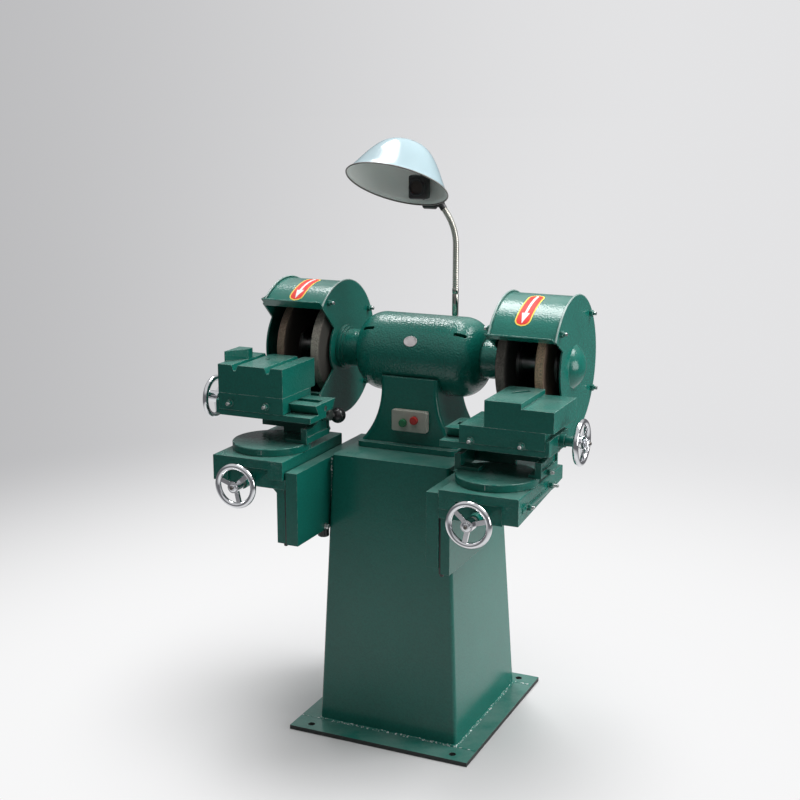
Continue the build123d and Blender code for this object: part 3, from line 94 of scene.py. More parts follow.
# Work lamp: knuckle, hose, hinge and holder
KNUCKLE_X = -10 * MM
KNUCKLE_Z = 1192 * MM
FERRULE_L = 14 * MM
HOSE_LEAN = radians(35)
HOSE_END_RUN = 13 * MM
COLLAR_DROP = 62 * MM
HOLDER = Vector((-41 * MM, 139 * MM, KNUCKLE_Z))
HINGE_BORE = 5.1 * MM
HINGE_R = 13 * MM
HINGE_EDGE = 2 * MM
HINGE_START = -12 * MM
HINGE_END = 20 * MM
ARM_R = 9 * MM
SOCKET = Vector((-37 * MM, 76 * MM, 1234 * MM))
SOCKET_HALF = Vector((22 * MM, 15 * MM, 27 * MM))
SOCKET_EDGE = 5 * MM

# Lamp shade: middle and axis of its rim, its brim, wall and the pin-hole left at its crown
SHADE_RIM = Vector((-63 * MM, 9.4 * MM, 1242.6 * MM))
SHADE_AXIS = Vector((0.061, 0.449, 0.891))
BRIM_R = 118 * MM
BRIM_H = 2.4 * MM
SHADE_WALL = 1.6 * MM
CROWN_R = 0.3 * MM

# Guards: drum, side plates, studs and mouth, whose edges are in degrees from straight up towards the front
DRUM_R = 154 * MM
GUARD_IN = 204 * MM
GUARD_OUT = 360 * MM
GUARD_PLATE = 4 * MM
GUARD_R = 158 * MM
STUD_BARE = 11 * MM
MOUTH = {"left": (46.4, 125.0), "right": (61.4, 140.0)}
RIM_BEAD = 2.1 * MM
RIM_SINK = 0.6 * MM

# Turning arrows: place in x, upper and lower end in degrees as for the mouth, and slant of x per radian,
# then their border, head and shaft, the height of each film and the half width left at a point
ARROWS = {"left": (-286 * MM, -3.5, 39.7, -4 * MM), "right": (277 * MM, 5.5, 48.7, -9 * MM)}
ARROW_BORDER = 3 * MM
ARROW_HEAD = radians(11)
ARROW_HEAD_HALF = 9 * MM
ARROW_SHAFT_HALF = 2.8 * MM
FILM_LIFTS = (0.25 * MM, 0.4 * MM, 0.55 * MM)
POINT = 0.01 * MM

# Height of the motor's oval plate
BADGE_Z = 902 * MM

# Stations and column: knob, bush of the feed screw, wing plate, bent corners, share of the leg that a weld
# on the flat plate has, and bracket cheeks
KNOB_H = 22 * MM
BUSH_IN = 405.2 * MM
BUSH_OUT = 426.8 * MM
WING_IN = 152 * MM
WING_OUT = 180 * MM
WING_PAD_SETBACK = 18 * MM
COLUMN_BEND = 8 * MM
FLAT_BEAD = 0.45
CHEEK_X = 184 * MM
CHEEK_OUT = 369 * MM

# Nuts and bolts: on each carriage two distances from the machine's middle and a height, on each saddle the
# place in y, the drop below the top and the length of the bare stud end, then washers, thread and the rest
CARRIAGE_NUTS = {"left": (263 * MM, 355 * MM, 19 * MM), "right": (223 * MM, 334 * MM, 9 * MM)}
SADDLE_NUTS = ((-271 * MM, 29 * MM, 5 * MM), (-132 * MM, 20 * MM, 10 * MM))
GIB_WASHER_R = 8.5 * MM
WASHER_T = 1.6 * MM
HUB_WASHER_T = 1.5 * MM
THREAD_PITCH = 1.25 * MM
CHEEK_NUT_Y = -180 * MM
CHEEK_NUT_H = 5 * MM
CHEEK_BOLT_H = 10 * MM
WING_BOLT_Y = -184 * MM
WING_BOLT_H = 8 * MM

# Gib strips: x outward from the wing plate or saddle's face, y from the knee's front or the frame's zero,
# heights and rounded edge, and the place of the knee gib's adjusting screw
KNEE_GIB_X = (0.4 * MM, 4.0 * MM)
KNEE_GIB_Y = (-0.6 * MM, 2 * MM)
KNEE_GIB_L = 130 * MM
KNEE_GIB_EDGE = 0.25 * MM
KNEE_FRONT_H = 20 * MM
KNEE_SCREW = (5.4 * MM, 4 * MM, 0.5 * MM)
SADDLE_GIB_X = (-1.0 * MM, 1.4 * MM)
SADDLE_GIB_Y = (-300 * MM, -80 * MM)
SADDLE_GIB_DROP = (36 * MM, 24 * MM)
SADDLE_GIB_EDGE = 0.5 * MM

# Index mark on the front of each turntable, in degrees round from straight ahead, and the turntable's disc
INDEX_TURN = {"left": 14, "right": 4}
INDEX_DROPS = (13 * MM, 3 * MM)
INDEX_HALF = 0.7 * MM
INDEX_DEPTH = 0.25 * MM
DISC_T = 12 * MM

# Pale grey laid on upward faces: dust, and painted light on the tops
TOP_LIGHT_AND_DUST = (0.36, 0.42, 0.40, 1.0)

# Studio lamps: place, point they light, width and depth
MACHINE = (0, 0, 0.75)
LAMPS = {
    "key": ((2.0, 0.75, 3.4), MACHINE, 1.6, 1.6),
    "top": ((-0.95, 1.2, 4.35), MACHINE, 0.95, 2.9),
    "ceiling": ((0, -0.2, 4.6), (0, -0.2, 0), 4.4, 4.4),
    "side": ((3.6, -0.15, 1.1), MACHINE, 1.6, 1.6),
}

# Where the backdrop brightens to the right and the mirrored room brightens upward, as parts of a direction
BACKDROP_FADE = (-0.80, -0.22)
ROOM_FADE = (0.15, 0.6)

# Shader sockets that are known by their number
OBJECT_PLACE = 3
WORLD_DIRECTION = 0
VECTOR_VALUE = 1
FACE_NORMAL = 1
MIX_FACTOR = 0
MIX_A = 6
MIX_B = 7
MIX_RESULT = 2


class Signal:
    """An output socket of a shader node; arithmetic on it adds Math nodes."""

    def __init__(self, finish, socket):
        self.finish = finish
        self.socket = socket

    def maths(self, operation, first, second):
        return self.finish.node("ShaderNodeMath", {"operation": operation}, {0: first, 1: second})

    def __add__(self, other):
        return self.maths("ADD", self, other)

    def __radd__(self, other):
        return self.maths("ADD", other, self)

    def __sub__(self, other):
        return self.maths("SUBTRACT", self, other)

    def __rsub__(self, other):
        return self.maths("SUBTRACT", other, self)

    def __mul__(self, other):
        return self.maths("MULTIPLY", self, other)

    def __rmul__(self, other):
        return self.maths("MULTIPLY", other, self)

    def __truediv__(self, other):
        return self.maths("DIVIDE", self, other)

    def __rtruediv__(self, other):
        return self.maths("DIVIDE", other, self)

    def __gt__(self, other):
        return self.maths("GREATER_THAN", self, other)

    def __lt__(self, other):
        return self.maths("LESS_THAN", self, other)

    def __or__(self, other):
        return self.maths("MAXIMUM", self, other)

    def __abs__(self):
        return self.maths("ABSOLUTE", self, 0.0)


class Finish:
    """The shader nodes of one material or world, and the ways to add to them."""

    def __init__(self, owner):
        owner.use_nodes = True
        self.owner = owner
        self.tree = owner.node_tree
        self.tree.nodes.clear()

    def node(self, kind, settings=None, sockets=None, output=0):
        """Adds a node, sets it up, then fills or links its sockets, and gives back one output."""
        node = self.tree.nodes.new(kind)
        for key, value in (settings or {}).items():
            setattr(node, key, value)
        for key, value in (sockets or {}).items():
            if isinstance(value, Signal):
                self.tree.links.new(value.socket, node.inputs[key])
            else:
                node.inputs[key].default_value = value
        return Signal(self, node.outputs[output]) if node.outputs else None

    def place(self):
        """Position on the piece, in metres."""
        return self.node("ShaderNodeTexCoord", output=OBJECT_PLACE)

    def along(self, vector, axis):
        """One coordinate of a vector."""
        return self.node("ShaderNodeSeparateXYZ", None, {0: vector}, axis)

    def vector(self, operation, first, second, output=0):
        return self.node("ShaderNodeVectorMath", {"operation": operation}, {0: first, 1: second}, output)

    def stretched(self, scale):
        """Position scaled apart along the three axes."""
        return self.vector("MULTIPLY", self.place(), scale)

    def noise(self, scale, detail=2.0, rough=0.5, where=None):
        sockets = {"Vector": where or self.place(), "Scale": scale, "Detail": detail, "Roughness": rough}
        return self.node("ShaderNodeTexNoise", None, sockets)

    def cells(self, scale, smooth=0.6):
        """Distance to the middle of rounded cells."""
        sockets = {"Vector": self.place(), "Scale": scale, "Smoothness": smooth}
        return self.node("ShaderNodeTexVoronoi", {"feature": "SMOOTH_F1"}, sockets)

    def fade(self, value, start, end):
        """0 below start, 1 above end, smooth between."""
        return self.node("ShaderNodeMapRange", {"interpolation_type": "SMOOTHSTEP"},
                         {0: value, 1: start, 2: end, 3: 0.0, 4: 1.0})

    def mix(self, factor, first, second):
        """Blend of two colours."""
        return self.node("ShaderNodeMix", {"data_type": "RGBA"},
                         {MIX_FACTOR: factor, MIX_A: first, MIX_B: second}, MIX_RESULT)

    def toned(self, mask, colour, dark, light):
        """A colour that passes from a darker to a lighter tone of itself."""
        return self.mix(mask, tone(colour, dark), tone(colour, light))

    def soft_normal(self, radius):
        """Surface direction rounded over the edges."""
        return self.node("ShaderNodeBevel", {"samples": 4}, {"Radius": radius})

    def face_normal(self):
        """Direction of the bare face."""
        return self.node("ShaderNodeNewGeometry", output=FACE_NORMAL)

    def edges(self, rounded):
        """1 near sharp edges and 0 on flat faces."""
        agreement = self.vector("DOT_PRODUCT", rounded, self.face_normal(), VECTOR_VALUE)
        return self.fade(1 - agreement, 0.005, 0.12)

    def crevices(self, width):
        """1 in joints and inner corners, 0 in the open."""
        open_share = self.node("ShaderNodeAmbientOcclusion", {"samples": 6}, {"Distance": width}, "AO")
        return self.fade(1 - open_share, 0.35, 0.75)

    def bump(self, height, depth, strength=1.0, normal=None):
        sockets = {"Strength": strength, "Distance": depth, "Height": height}
        if normal:
            sockets["Normal"] = normal
        return self.node("ShaderNodeBump", None, sockets)

    def shader(self, **sockets):
        """Main shader, with its sockets named with underscores for spaces."""
        named = {key.replace("_", " "): value for key, value in sockets.items()}
        return self.node("ShaderNodeBsdfPrincipled", None, named)

    def either(self, mask, first, second):
        """First shader where the mask is 0 and second where it is 1."""
        return self.node("ShaderNodeMixShader", None, {0: mask, 1: first, 2: second})

    def seen(self):
        """1 for what the camera sees, directly, mirrored or through glass."""
        rays = [self.node("ShaderNodeLightPath", output=f"Is {kind} Ray")
                for kind in ("Camera", "Glossy", "Transmission")]
        return rays[0] | rays[1] | rays[2]

    def close(self, shader, kind="Material"):
        """Ends the nodes with their output."""
        self.node(f"ShaderNodeOutput{kind}", None, {"Surface": shader})
        return self.owner


def material(name, look, *values):
    """New material with one of the looks below."""
    finish = Finish(bpy.data.materials.new(name))
    return finish.close(look(finish, *values))


def tone(colour, factor):
    """A colour made lighter or darker, with its alpha."""
    return (colour[0] * factor, colour[1] * factor, colour[2] * factor, 1.0)


def pale(colour, share):
    """A colour mixed with a share of white, with its alpha."""
    return (*(channel + (1 - channel) * share for channel in colour[:3]), 1.0)


def hammered_enamel(finish, colour, dimple, edge_light_and_wear=0.85):
    """Gloss hammer paint: rounded cells, clouds of tone, paler edges of painted highlight and worn paint, a
    pale grey on top of dust and painted top light, and painted shade with grime in the joints.
    """
    rounded = finish.soft_normal(1.6 * MM)
    edge = finish.edges(rounded)
    cells = finish.cells(240.0)
    clouds = finish.noise(7.0, 4.0, 0.6)
    tint = finish.toned(clouds, colour, 0.86, 1.14)
    tint = finish.mix(finish.fade(cells, 0.25, 0.75) * 0.35, tint, tone(colour, 0.7))
    # Paler edges: a painted highlight along the edges, with some worn paint.
    lit_worn_edge = edge * finish.fade(finish.noise(60.0, 3.0), 0.34, 0.62)
    tint = finish.mix(lit_worn_edge * edge_light_and_wear, tint, pale(tone(colour, 1.8), 0.36))
    # Pale grey on upward faces: dust on the paint, and painted light that lightens the tops.
    upward = finish.along(finish.face_normal(), 2)
    pale_patches = finish.fade(upward, 0.7, 0.98) * finish.fade(finish.noise(9.0, 5.0, 0.6), 0.2, 0.7)
    tint = finish.mix(pale_patches * 0.26, tint, TOP_LIGHT_AND_DUST)
    # Darkening from ambient occlusion in joints and inner corners: painted shade, with some grime.
    shade_and_grime = finish.crevices(7 * MM)
    tint = finish.mix(shade_and_grime * 0.9, tint, tone(colour, 0.08))
    smear = finish.noise(16.0, 5.0, 0.65)
    rough = 0.12 + 0.13 * smear + 0.08 * edge + 0.4 * shade_and_grime
    waves = finish.noise(30.0, 1.0)
    height = (1 - cells) * 0.75 + waves * 0.9
    normal = finish.bump(height, 0.5 * MM, dimple, rounded)
    return finish.shader(Base_Color=tint, Roughness=rough, IOR=1.46, Normal=normal)


def sheared_plate(finish, colour, edge_shade):
    """Hammer-painted plate whose upright edges are painted dark as shade."""
    # Upright faces of the plate get a near-black colour: painted shade on its edges.
    shadowed = abs(finish.along(finish.face_normal(), 2)) < 0.5
    painted = hammered_enamel(finish, colour, 0.4, 0.45)
    return finish.either(shadowed, painted, moulded_plastic(finish, edge_shade, 0.5))


def stove_enamel(finish, colour, base_rough):
    """Stoved enamel on spun sheet of little thickness, with faint waves of the spinning."""
    clouds = finish.noise(14.0, 3.0)
    tint = finish.toned(clouds, colour, 0.93, 1.05)
    rough = base_rough + 0.1 * finish.noise(35.0, 4.0)
    normal = finish.bump(finish.noise(24.0, 2.0), 0.3 * MM, 0.25)
    return finish.shader(Base_Color=tint, Roughness=rough, Normal=normal)


def chrome_plate(finish, colour):
    """Polished plating with faint clouding and fine scratches."""
    rounded = finish.soft_normal(0.8 * MM)
    clouds = finish.noise(45.0, 4.0, 0.6)
    tint = finish.toned(clouds, colour, 0.86, 1.08)
    scratches = finish.noise(260.0, 2.0, 0.7, finish.stretched((1.0, 0.25, 3.0)))
    rough = 0.06 + 0.12 * finish.fade(scratches, 0.45, 0.8)
    normal = finish.bump(scratches, 0.05 * MM, 0.3, rounded)
    return finish.shader(Base_Color=tint, Metallic=1.0, Roughness=rough, Normal=normal)


def turned_steel(finish, colour):
    """Machined steel with tool marks and a little dulling."""
    rounded = finish.soft_normal(0.6 * MM)
    marks = finish.noise(900.0, 1.0, 0.5, finish.stretched((1.0, 0.06, 0.06)))
    clouds = finish.noise(40.0, 4.0, 0.6)
    tint = finish.toned(clouds, colour, 0.72, 1.1)
    rough = 0.24 + 0.14 * marks + 0.12 * clouds
    normal = finish.bump(marks, 0.08 * MM, 0.35, rounded)
    return finish.shader(Base_Color=tint, Metallic=1.0, Roughness=rough, Normal=normal)


def moulded_plastic(finish, colour, base_rough):
    """Moulded plastic with a fine orange-peel skin."""
    rounded = finish.soft_normal(0.8 * MM)
    clouds = finish.noise(60.0, 3.0)
    tint = finish.toned(clouds, colour, 0.85, 1.2)
    rough = base_rough + 0.1 * clouds
    normal = finish.bump(finish.noise(420.0, 2.0), 0.06 * MM, 0.4, rounded)
    return finish.shader(Base_Color=tint, Roughness=rough, Normal=normal)


def bonded_grit(finish, colour):
    """Abrasive wheel: bonded grains and pores, with painted shade darkening its flat faces."""
    sockets = {"Vector": finish.place(), "Scale": 620.0}
    grains = finish.node("ShaderNodeTexVoronoi", {"feature": "F1"}, sockets, output=1)
    speck = finish.node("ShaderNodeSeparateColor", None, {0: grains})
    pale_patches = finish.noise(25.0, 4.0, 0.65)
    tint = finish.toned(speck, colour, 0.6, 1.35)
    tint = finish.mix(finish.fade(pale_patches, 0.5, 0.75) * 0.5, tint, tone(colour, 1.5))
    # Flat faces of the wheel are darkened: painted shade inside the guard.
    shaded_flat_face = abs(finish.along(finish.face_normal(), 0))
    tint = finish.mix(finish.fade(shaded_flat_face, 0.5, 0.8), tint, tone(colour, 0.12))
    normal = finish.bump(finish.noise(520.0, 3.0, 0.7), 0.6 * MM, 0.8)
    return finish.shader(Base_Color=tint, Roughness=0.93, Normal=normal)


def laminated_iron(finish, colour):
    """Stacked core sheets, edge on."""
    sheets = finish.noise(700.0, 0.0, 0.5, finish.stretched((1.0, 0.0, 0.0)))
    tint = finish.toned(sheets, colour, 0.6, 1.3)
    normal = finish.bump(sheets, 0.15 * MM, 0.6)
    return finish.shader(Base_Color=tint, Metallic=0.6, Roughness=0.55 + 0.1 * sheets, Normal=normal)


def printed_film(finish, colour):
    """Sticker film with slight fading."""
    clouds = finish.noise(50.0, 4.0, 0.6)
    tint = finish.toned(clouds, colour, 0.9, 1.06)
    return finish.shader(Base_Color=tint, Roughness=0.45 + 0.12 * clouds, Specular_IOR_Level=0.25)


def painted_weld(finish, colour):
    """Weld bead under paint, with bright specks of painted glint."""
    spots = finish.noise(140.0, 4.0, 0.6)
    tint = finish.toned(spots, colour, 0.7, 1.35)
    # Scattered pale specks: painted glints on the bead.
    tint = finish.mix(finish.fade(finish.noise(230.0, 3.0), 0.55, 0.62), tint, pale(colour, 0.75))
    normal = finish.bump(finish.noise(320.0, 3.0), 0.5 * MM, 0.8)
    return finish.shader(Base_Color=tint, Roughness=0.22 + 0.15 * spots, Normal=normal)


def knob_and_screw(finish, black, steel, knob_top):
    """Black knob below a height and steel screw above it."""
    above = finish.along(finish.place(), 2) > knob_top
    return finish.either(above, moulded_plastic(finish, black, 0.22), turned_steel(finish, steel))


def bush_and_screw(finish, paint, steel):
    """Painted bush on a steel feed screw."""
    across = abs(finish.along(finish.place(), 0))
    on_bush = (across > BUSH_IN) * (across < BUSH_OUT)
    return finish.either(on_bush, turned_steel(finish, steel), hammered_enamel(finish, paint, 0.3))


def nuts_and_studs(finish, paint, steel):
    """Painted nuts and studs of the guards, with bare stud tips."""
    across = abs(finish.along(finish.place(), 0) - MOTOR_X)
    bare = (across < GUARD_IN - STUD_BARE) + (across > GUARD_OUT + STUD_BARE)
    return finish.either(bare, hammered_enamel(finish, paint, 0.3), turned_steel(finish, steel))


def make_piece(name, bm, materials, body, angle=35.0):
    """Turns built geometry into a piece that rides on a body."""
    bmesh.ops.recalc_face_normals(bm, faces=bm.faces)
    mesh = bpy.data.meshes.new(name)
    bm.to_mesh(mesh)
    bm.free()
    for polygon in mesh.polygons:
        polygon.use_smooth = True
    mesh.set_sharp_from_angle(angle=radians(angle))
    for layer in materials:
        mesh.materials.append(layer)
    piece = bpy.data.objects.new(name, mesh)
    bpy.context.scene.collection.objects.link(piece)
    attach(piece, body)
    return piece


def stations(*parts):
    """Names of these parts on both stations."""
    return [f"{side}_{part}" for side in SIDES for part in parts]


def paint_nodes(finish, *names):
    """Gives CAD nodes their finish."""
    for name in names:
        node = NODES[name]
        if not node.material_slots:
            node.data.materials.append(finish)
        for slot in node.material_slots:
            slot.material = finish


def skin_rings(bm, rings, layer=0, closed_ends=True, closed_loop=False):
    """Joins rings of points with quads."""
    rows = [[bm.verts.new(point) for point in ring] for ring in rings]
    pairs = list(zip(rows, rows[1:]))
    if closed_loop:
        pairs.append((rows[-1], rows[0]))
    faces = []
    for first, second in pairs:
        count = len(first)
        for index in range(count):
            after = (index + 1) % count
            faces.append(bm.faces.new((first[index], first[after], second[after], second[index])))
    if closed_ends and not closed_loop:
        faces.append(bm.faces.new(rows[0]))
        faces.append(bm.faces.new(list(reversed(rows[-1]))))
    for face in faces:
        face.material_index = layer


def millimetres(*pairs):
    """Pairs of millimetres, in metres."""
    return [(first * MM, second * MM) for first, second in pairs]


def turns(count):
    """Angles of equal steps round a circle."""
    return [tau * step / count for step in range(count)]


def turned_rings(profile, place, count):
    """Rings about the place's Z axis from (radius, height) points."""
    return [[place @ Vector((radius * cos(turn), radius * sin(turn), height)) for turn in turns(count)]
            for radius, height in profile]


def lathe(bm, profile, place, count, layer=0):
    """Turned form with closed ends from (radius, height) points."""
    skin_rings(bm, turned_rings(profile, place, count), layer)


def spun(bm, profile, place, count, layer, closed_loop=False):
    """Thin spun skin from (radius, height) points."""
    skin_rings(bm, turned_rings(profile, place, count), layer, False, closed_loop)


def facing(origin, direction):
    """Place at a point with its Z axis along a direction."""
    turn = Vector(direction).to_track_quat("Z", "Y").to_matrix().to_4x4()
    return Matrix.Translation(origin) @ turn


def lifted(place, height):
    """Place moved along its own Z axis."""
    return place @ Matrix.Translation((0, 0, height))


def washer(bm, place, radius, thickness, layer=0):
    """Flat washer with broken edges."""
    profile = [(radius * 0.95, 0), (radius, thickness * 0.3), (radius, thickness * 0.75),
               (radius * 0.94, thickness)]
    lathe(bm, profile, place, 28, layer)


def hex_nut(bm, place, flats, height, layer=0):
    """Hexagon with a turned crown."""
    corner = flats / sqrt(3)
    lathe(bm, [(corner, 0.0), (corner, height * 0.84)], place, 6, layer)
    crown = [(flats * 0.52, height * 0.82), (flats * 0.47, height), (flats * 0.40, height * 1.02)]
    lathe(bm, crown, place, 24, layer)


def stud_end(bm, place, radius, length, layer=0):
    """Threaded end with a chamfered tip."""
    count = max(2, int(length / THREAD_PITCH))
    profile = []
    for k in range(count):
        profile += [(radius, length * k / count), (radius * 0.86, length * (k + 0.5) / count)]
    profile += [(radius * 0.95, length), (radius * 0.7, length + radius * 0.3)]
    lathe(bm, profile, place, 18, layer)


def nut_on_stud(bm, place, flats, height, tip, ring=0.0, ring_t=WASHER_T, thread=0.33):
    """Nut, on a washer if it has one, with a bare stud end through it."""
    if ring:
        washer(bm, place, ring, ring_t)
        place = lifted(place, ring_t)
    hex_nut(bm, place, flats, height)
    stud_end(bm, lifted(place, height), flats * thread, tip, 1)


def bar(bm, low, high, chamfer, layer=0):
    """Straight bar with rounded edges between two corners."""
    size = high - low
    points = bmesh.ops.create_cube(bm, size=1.0)["verts"]
    for point in points:
        point.co = (low + high) / 2 + Vector(a * b for a, b in zip(point.co, size))
    edges = list({edge for point in points for edge in point.link_edges})
    made = bmesh.ops.bevel(bm, geom=edges, offset=chamfer, segments=2, profile=0.5, affect="EDGES")
    for face in {face for point in made["verts"] for face in point.link_faces}:
        face.material_index = layer


def strip(bm, across, along, heights, edge):
    """Straight bar between two places in each of x, y and z."""
    low, high = (Vector(corner) for corner in zip(sorted(across), along, heights))
    bar(bm, low, high, edge)


def weld_bead(bm, path, size, ripple, closed_loop=False):
    """Rippled fillet bead along a path of (corner point, direction up one face, direction up the other)."""
    rings = []
    run = 0.0
    before = path[0][0]
    for base, first, second in path:
        run += (base - before).length
        before = base
        wave = abs(sin(pi * run / ripple))
        leg = size * (1.0 + 0.14 * sin(run * 61.0) + 0.1 * sin(run * 143.0 + 1.0))
        crown = leg * (0.56 + 0.2 * wave)
        sink = -0.15 * size
        rings.append([base + (first + second) * sink,
                      base + first * leg + second * sink,
                      base + first * leg * 0.86 + second * crown * 0.62,
                      base + (first + second) * crown,
                      base + second * leg * 0.86 + first * crown * 0.62,
                      base + second * leg + first * sink])
    skin_rings(bm, rings, closed_loop=closed_loop)


def straight_path(start, end, first, second, step):
    """Points of a straight weld."""
    count = max(2, int((end - start).length / step))
    return [(start.lerp(end, k / count), first, second) for k in range(count + 1)]


def foot_path(low, high, z, bend, step):
    """Points of a weld round a foot with bent corners, with the way out of each wall."""
    corners = [(high.x - bend, high.y - bend, 0.0), (low.x + bend, high.y - bend, 0.25),
               (low.x + bend, low.y + bend, 0.5), (high.x - bend, low.y + bend, 0.75)]
    bend_steps = 8
    points = []
    for x, y, start in corners:
        for k in range(bend_steps + 1):
            turn = tau * (start + 0.25 * k / bend_steps)
            out = Vector((cos(turn), sin(turn), 0))
            points.append((Vector((x, y, z)) + out * bend, out))
    path = []
    for (point, out), (after, _) in zip(points, points[1:] + points[:1]):
        count = max(1, int((after - point).length / step))
        path += [(point.lerp(after, k / count), UP, out) for k in range(count)]
    return path


def hose_shape():
    """Bend radius of the lamp hose and the straight rise below the bend."""
    end = FERRULE_L + HOSE_END_RUN
    radius = (STEM.x - KNUCKLE_X - end * sin(HOSE_LEAN)) / (1 - cos(HOSE_LEAN))
    rise = KNUCKLE_Z - end * cos(HOSE_LEAN) - radius * sin(HOSE_LEAN) - STEM_TOP
    return radius, rise


def hose_spot(distance):
    """Place and lean of the lamp hose at a distance from the stem's top."""
    radius, rise = hose_shape()
    turn = min(max((distance - rise) / radius, 0.0), HOSE_LEAN)
    straight = min(distance, rise)
    rest = distance - straight - turn * radius
    x = STEM.x - radius * (1 - cos(turn)) - rest * sin(turn)
    z = STEM_TOP + straight + radius * sin(turn) + rest * cos(turn)
    return Vector((x, STEM.y, z)), turn


def drum_point(x, angle, lift):
    """Point on a guard's drum, with its angle from straight up towards the front."""
    radius = DRUM_R + lift
    return Vector((x, SPINDLE.y - radius * sin(angle), SPINDLE.z + radius * cos(angle)))


def strip_on_drum(bm, middle_x, rows, lift, slant, layer):
    """Flat shape on the drum from (angle, half width) rows, with a slant of x for each radian."""
    pairs = []
    for angle, half in rows:
        x = middle_x + slant * angle
        pairs.append([bm.verts.new(drum_point(x + edge, angle, lift)) for edge in (-half, half)])
    for (a, b), (c, d) in zip(pairs, pairs[1:]):
        bm.faces.new((a, b, d, c)).material_index = layer


def pill_rows(top, bottom, half, count=40):
    """Rows of a round-ended band between two angles."""
    rows = []
    end = half / DRUM_R
    for step in range(count + 1):
        angle = top + (bottom - top) * step / count
        from_end = min(min(angle - top, bottom - angle) / end, 1.0)
        rows.append((angle, half * sqrt(max(0.0, 1 - (1 - from_end) ** 2)) + POINT))
    return rows


def colour_value(name, description, default):
    return FloatVectorProperty(name=name, description=description, subtype="COLOR", size=3, min=0, max=1,
                               default=default)


def length_value(name, description, default):
    return FloatProperty(name=name, description=description, unit="LENGTH", default=default)


def power_value(name, description, default):
    return FloatProperty(name=name, description=description, subtype="POWER", default=default)


def place_value(name, description, default):
    return FloatVectorProperty(name=name, description=description, subtype="TRANSLATION", unit="LENGTH",
                               size=3, default=default)


class EnamelColours(bpy.types.PropertyGroup):
    """Colours of the painted and plated pieces."""

    machine_green: colour_value("Machine green", "Hammer paint of the machine", (0.007, 0.150, 0.116))
    chrome: colour_value("Chrome", "Plating of the hand wheels", (0.72, 0.73, 0.75))
    steel: colour_value("Steel", "Turned shafts, nuts and screws", (0.46, 0.46, 0.45))
    nickel: colour_value("Nickel", "Lamp stem and hose", (0.50, 0.485, 0.44))
    zinc: colour_value("Zinc", "Plated bolts and stud ends", (0.50, 0.52, 0.51))
    # Near-black oiled steel of the gib strips, also used as painted shade on the base plate's edges
    oiled: colour_value("Oiled steel", "Gib strips and the sheared edges of the base", (0.010, 0.014, 0.013))
    black: colour_value("Black plastic", "Lever balls, knobs and lamp holder", (0.012, 0.012, 0.013))
    # Dark brown of the socket's hollow: brown bakelite and painted shade
    socket_brown: colour_value("Socket brown", "Inside of the lamp's socket", (0.022, 0.014, 0.010))
    core: colour_value("Core iron", "Core sheets, shade rim and screw ends", (0.16, 0.15, 0.14))
    shade_outside: colour_value("Shade outside", "Lamp shade, outer enamel", (0.34, 0.455, 0.495))
    shade_inside: colour_value("Shade inside", "Lamp shade, inner enamel", (0.80, 0.81, 0.79))
    left_outer_grit: colour_value("Left outer wheel", "Brown grinding wheel", (0.30, 0.21, 0.16))
    left_inner_grit: colour_value("Left inner wheel", "Pale grey grinding wheel", (0.42, 0.38, 0.33))
    right_inner_grit: colour_value("Right inner wheel", "Dark grey grinding wheel", (0.19, 0.16, 0.145))
    right_outer_grit: colour_value("Right outer wheel", "Beige grinding wheel", (0.80, 0.52, 0.36))
    arrow_red: colour_value("Arrow red", "Field of the turning arrows", (0.75, 0.03, 0.02))
    arrow_yellow: colour_value("Arrow yellow", "Border of the turning arrows", (0.90, 0.68, 0.10))
    arrow_white: colour_value("Arrow white", "Arrow itself", (0.85, 0.85, 0.85))
    badge: colour_value("Badge", "Bare oval plate on the motor", (0.70, 0.66, 0.66))
    switch_box: colour_value("Switch box", "Push button plate", (0.42, 0.41, 0.36))
    start_green: colour_value("Start green", "Start button", (0.01, 0.16, 0.06))
    stop_red: colour_value("Stop red", "Stop button", (0.45, 0.02, 0.015))


class FittingSizes(bpy.types.PropertyGroup):
    """Sizes of the small fittings."""

    hose_ribs: IntProperty(name="Hose ribs", description="Turns of the lamp hose", min=20, max=200,
                           default=46)
    hose_r: length_value("Hose radius", "Lamp hose over its ribs", 7.2 * MM)
    hose_groove: length_value("Hose groove", "Depth between ribs", 1.9 * MM)
    bead: length_value("Weld bead", "Leg of the fillet welds", 3.6 * MM)
    ripple: length_value("Weld ripple", "Length of one weld ripple", 6 * MM)
    gib_flats: length_value("Gib nut", "Across the flats of gib nuts", 12 * MM)
    hub_flats: length_value("Hub nut", "Across the flats of hand wheel nuts", 13 * MM)
    arrow_half: length_value("Arrow half width", "Half width of a turning arrow's band", 18 * MM)
    badge_x: length_value("Badge width", "Long axis of the motor's oval plate", 32 * MM)
    badge_z: length_value("Badge height", "Short axis of the motor's oval plate", 24 * MM)


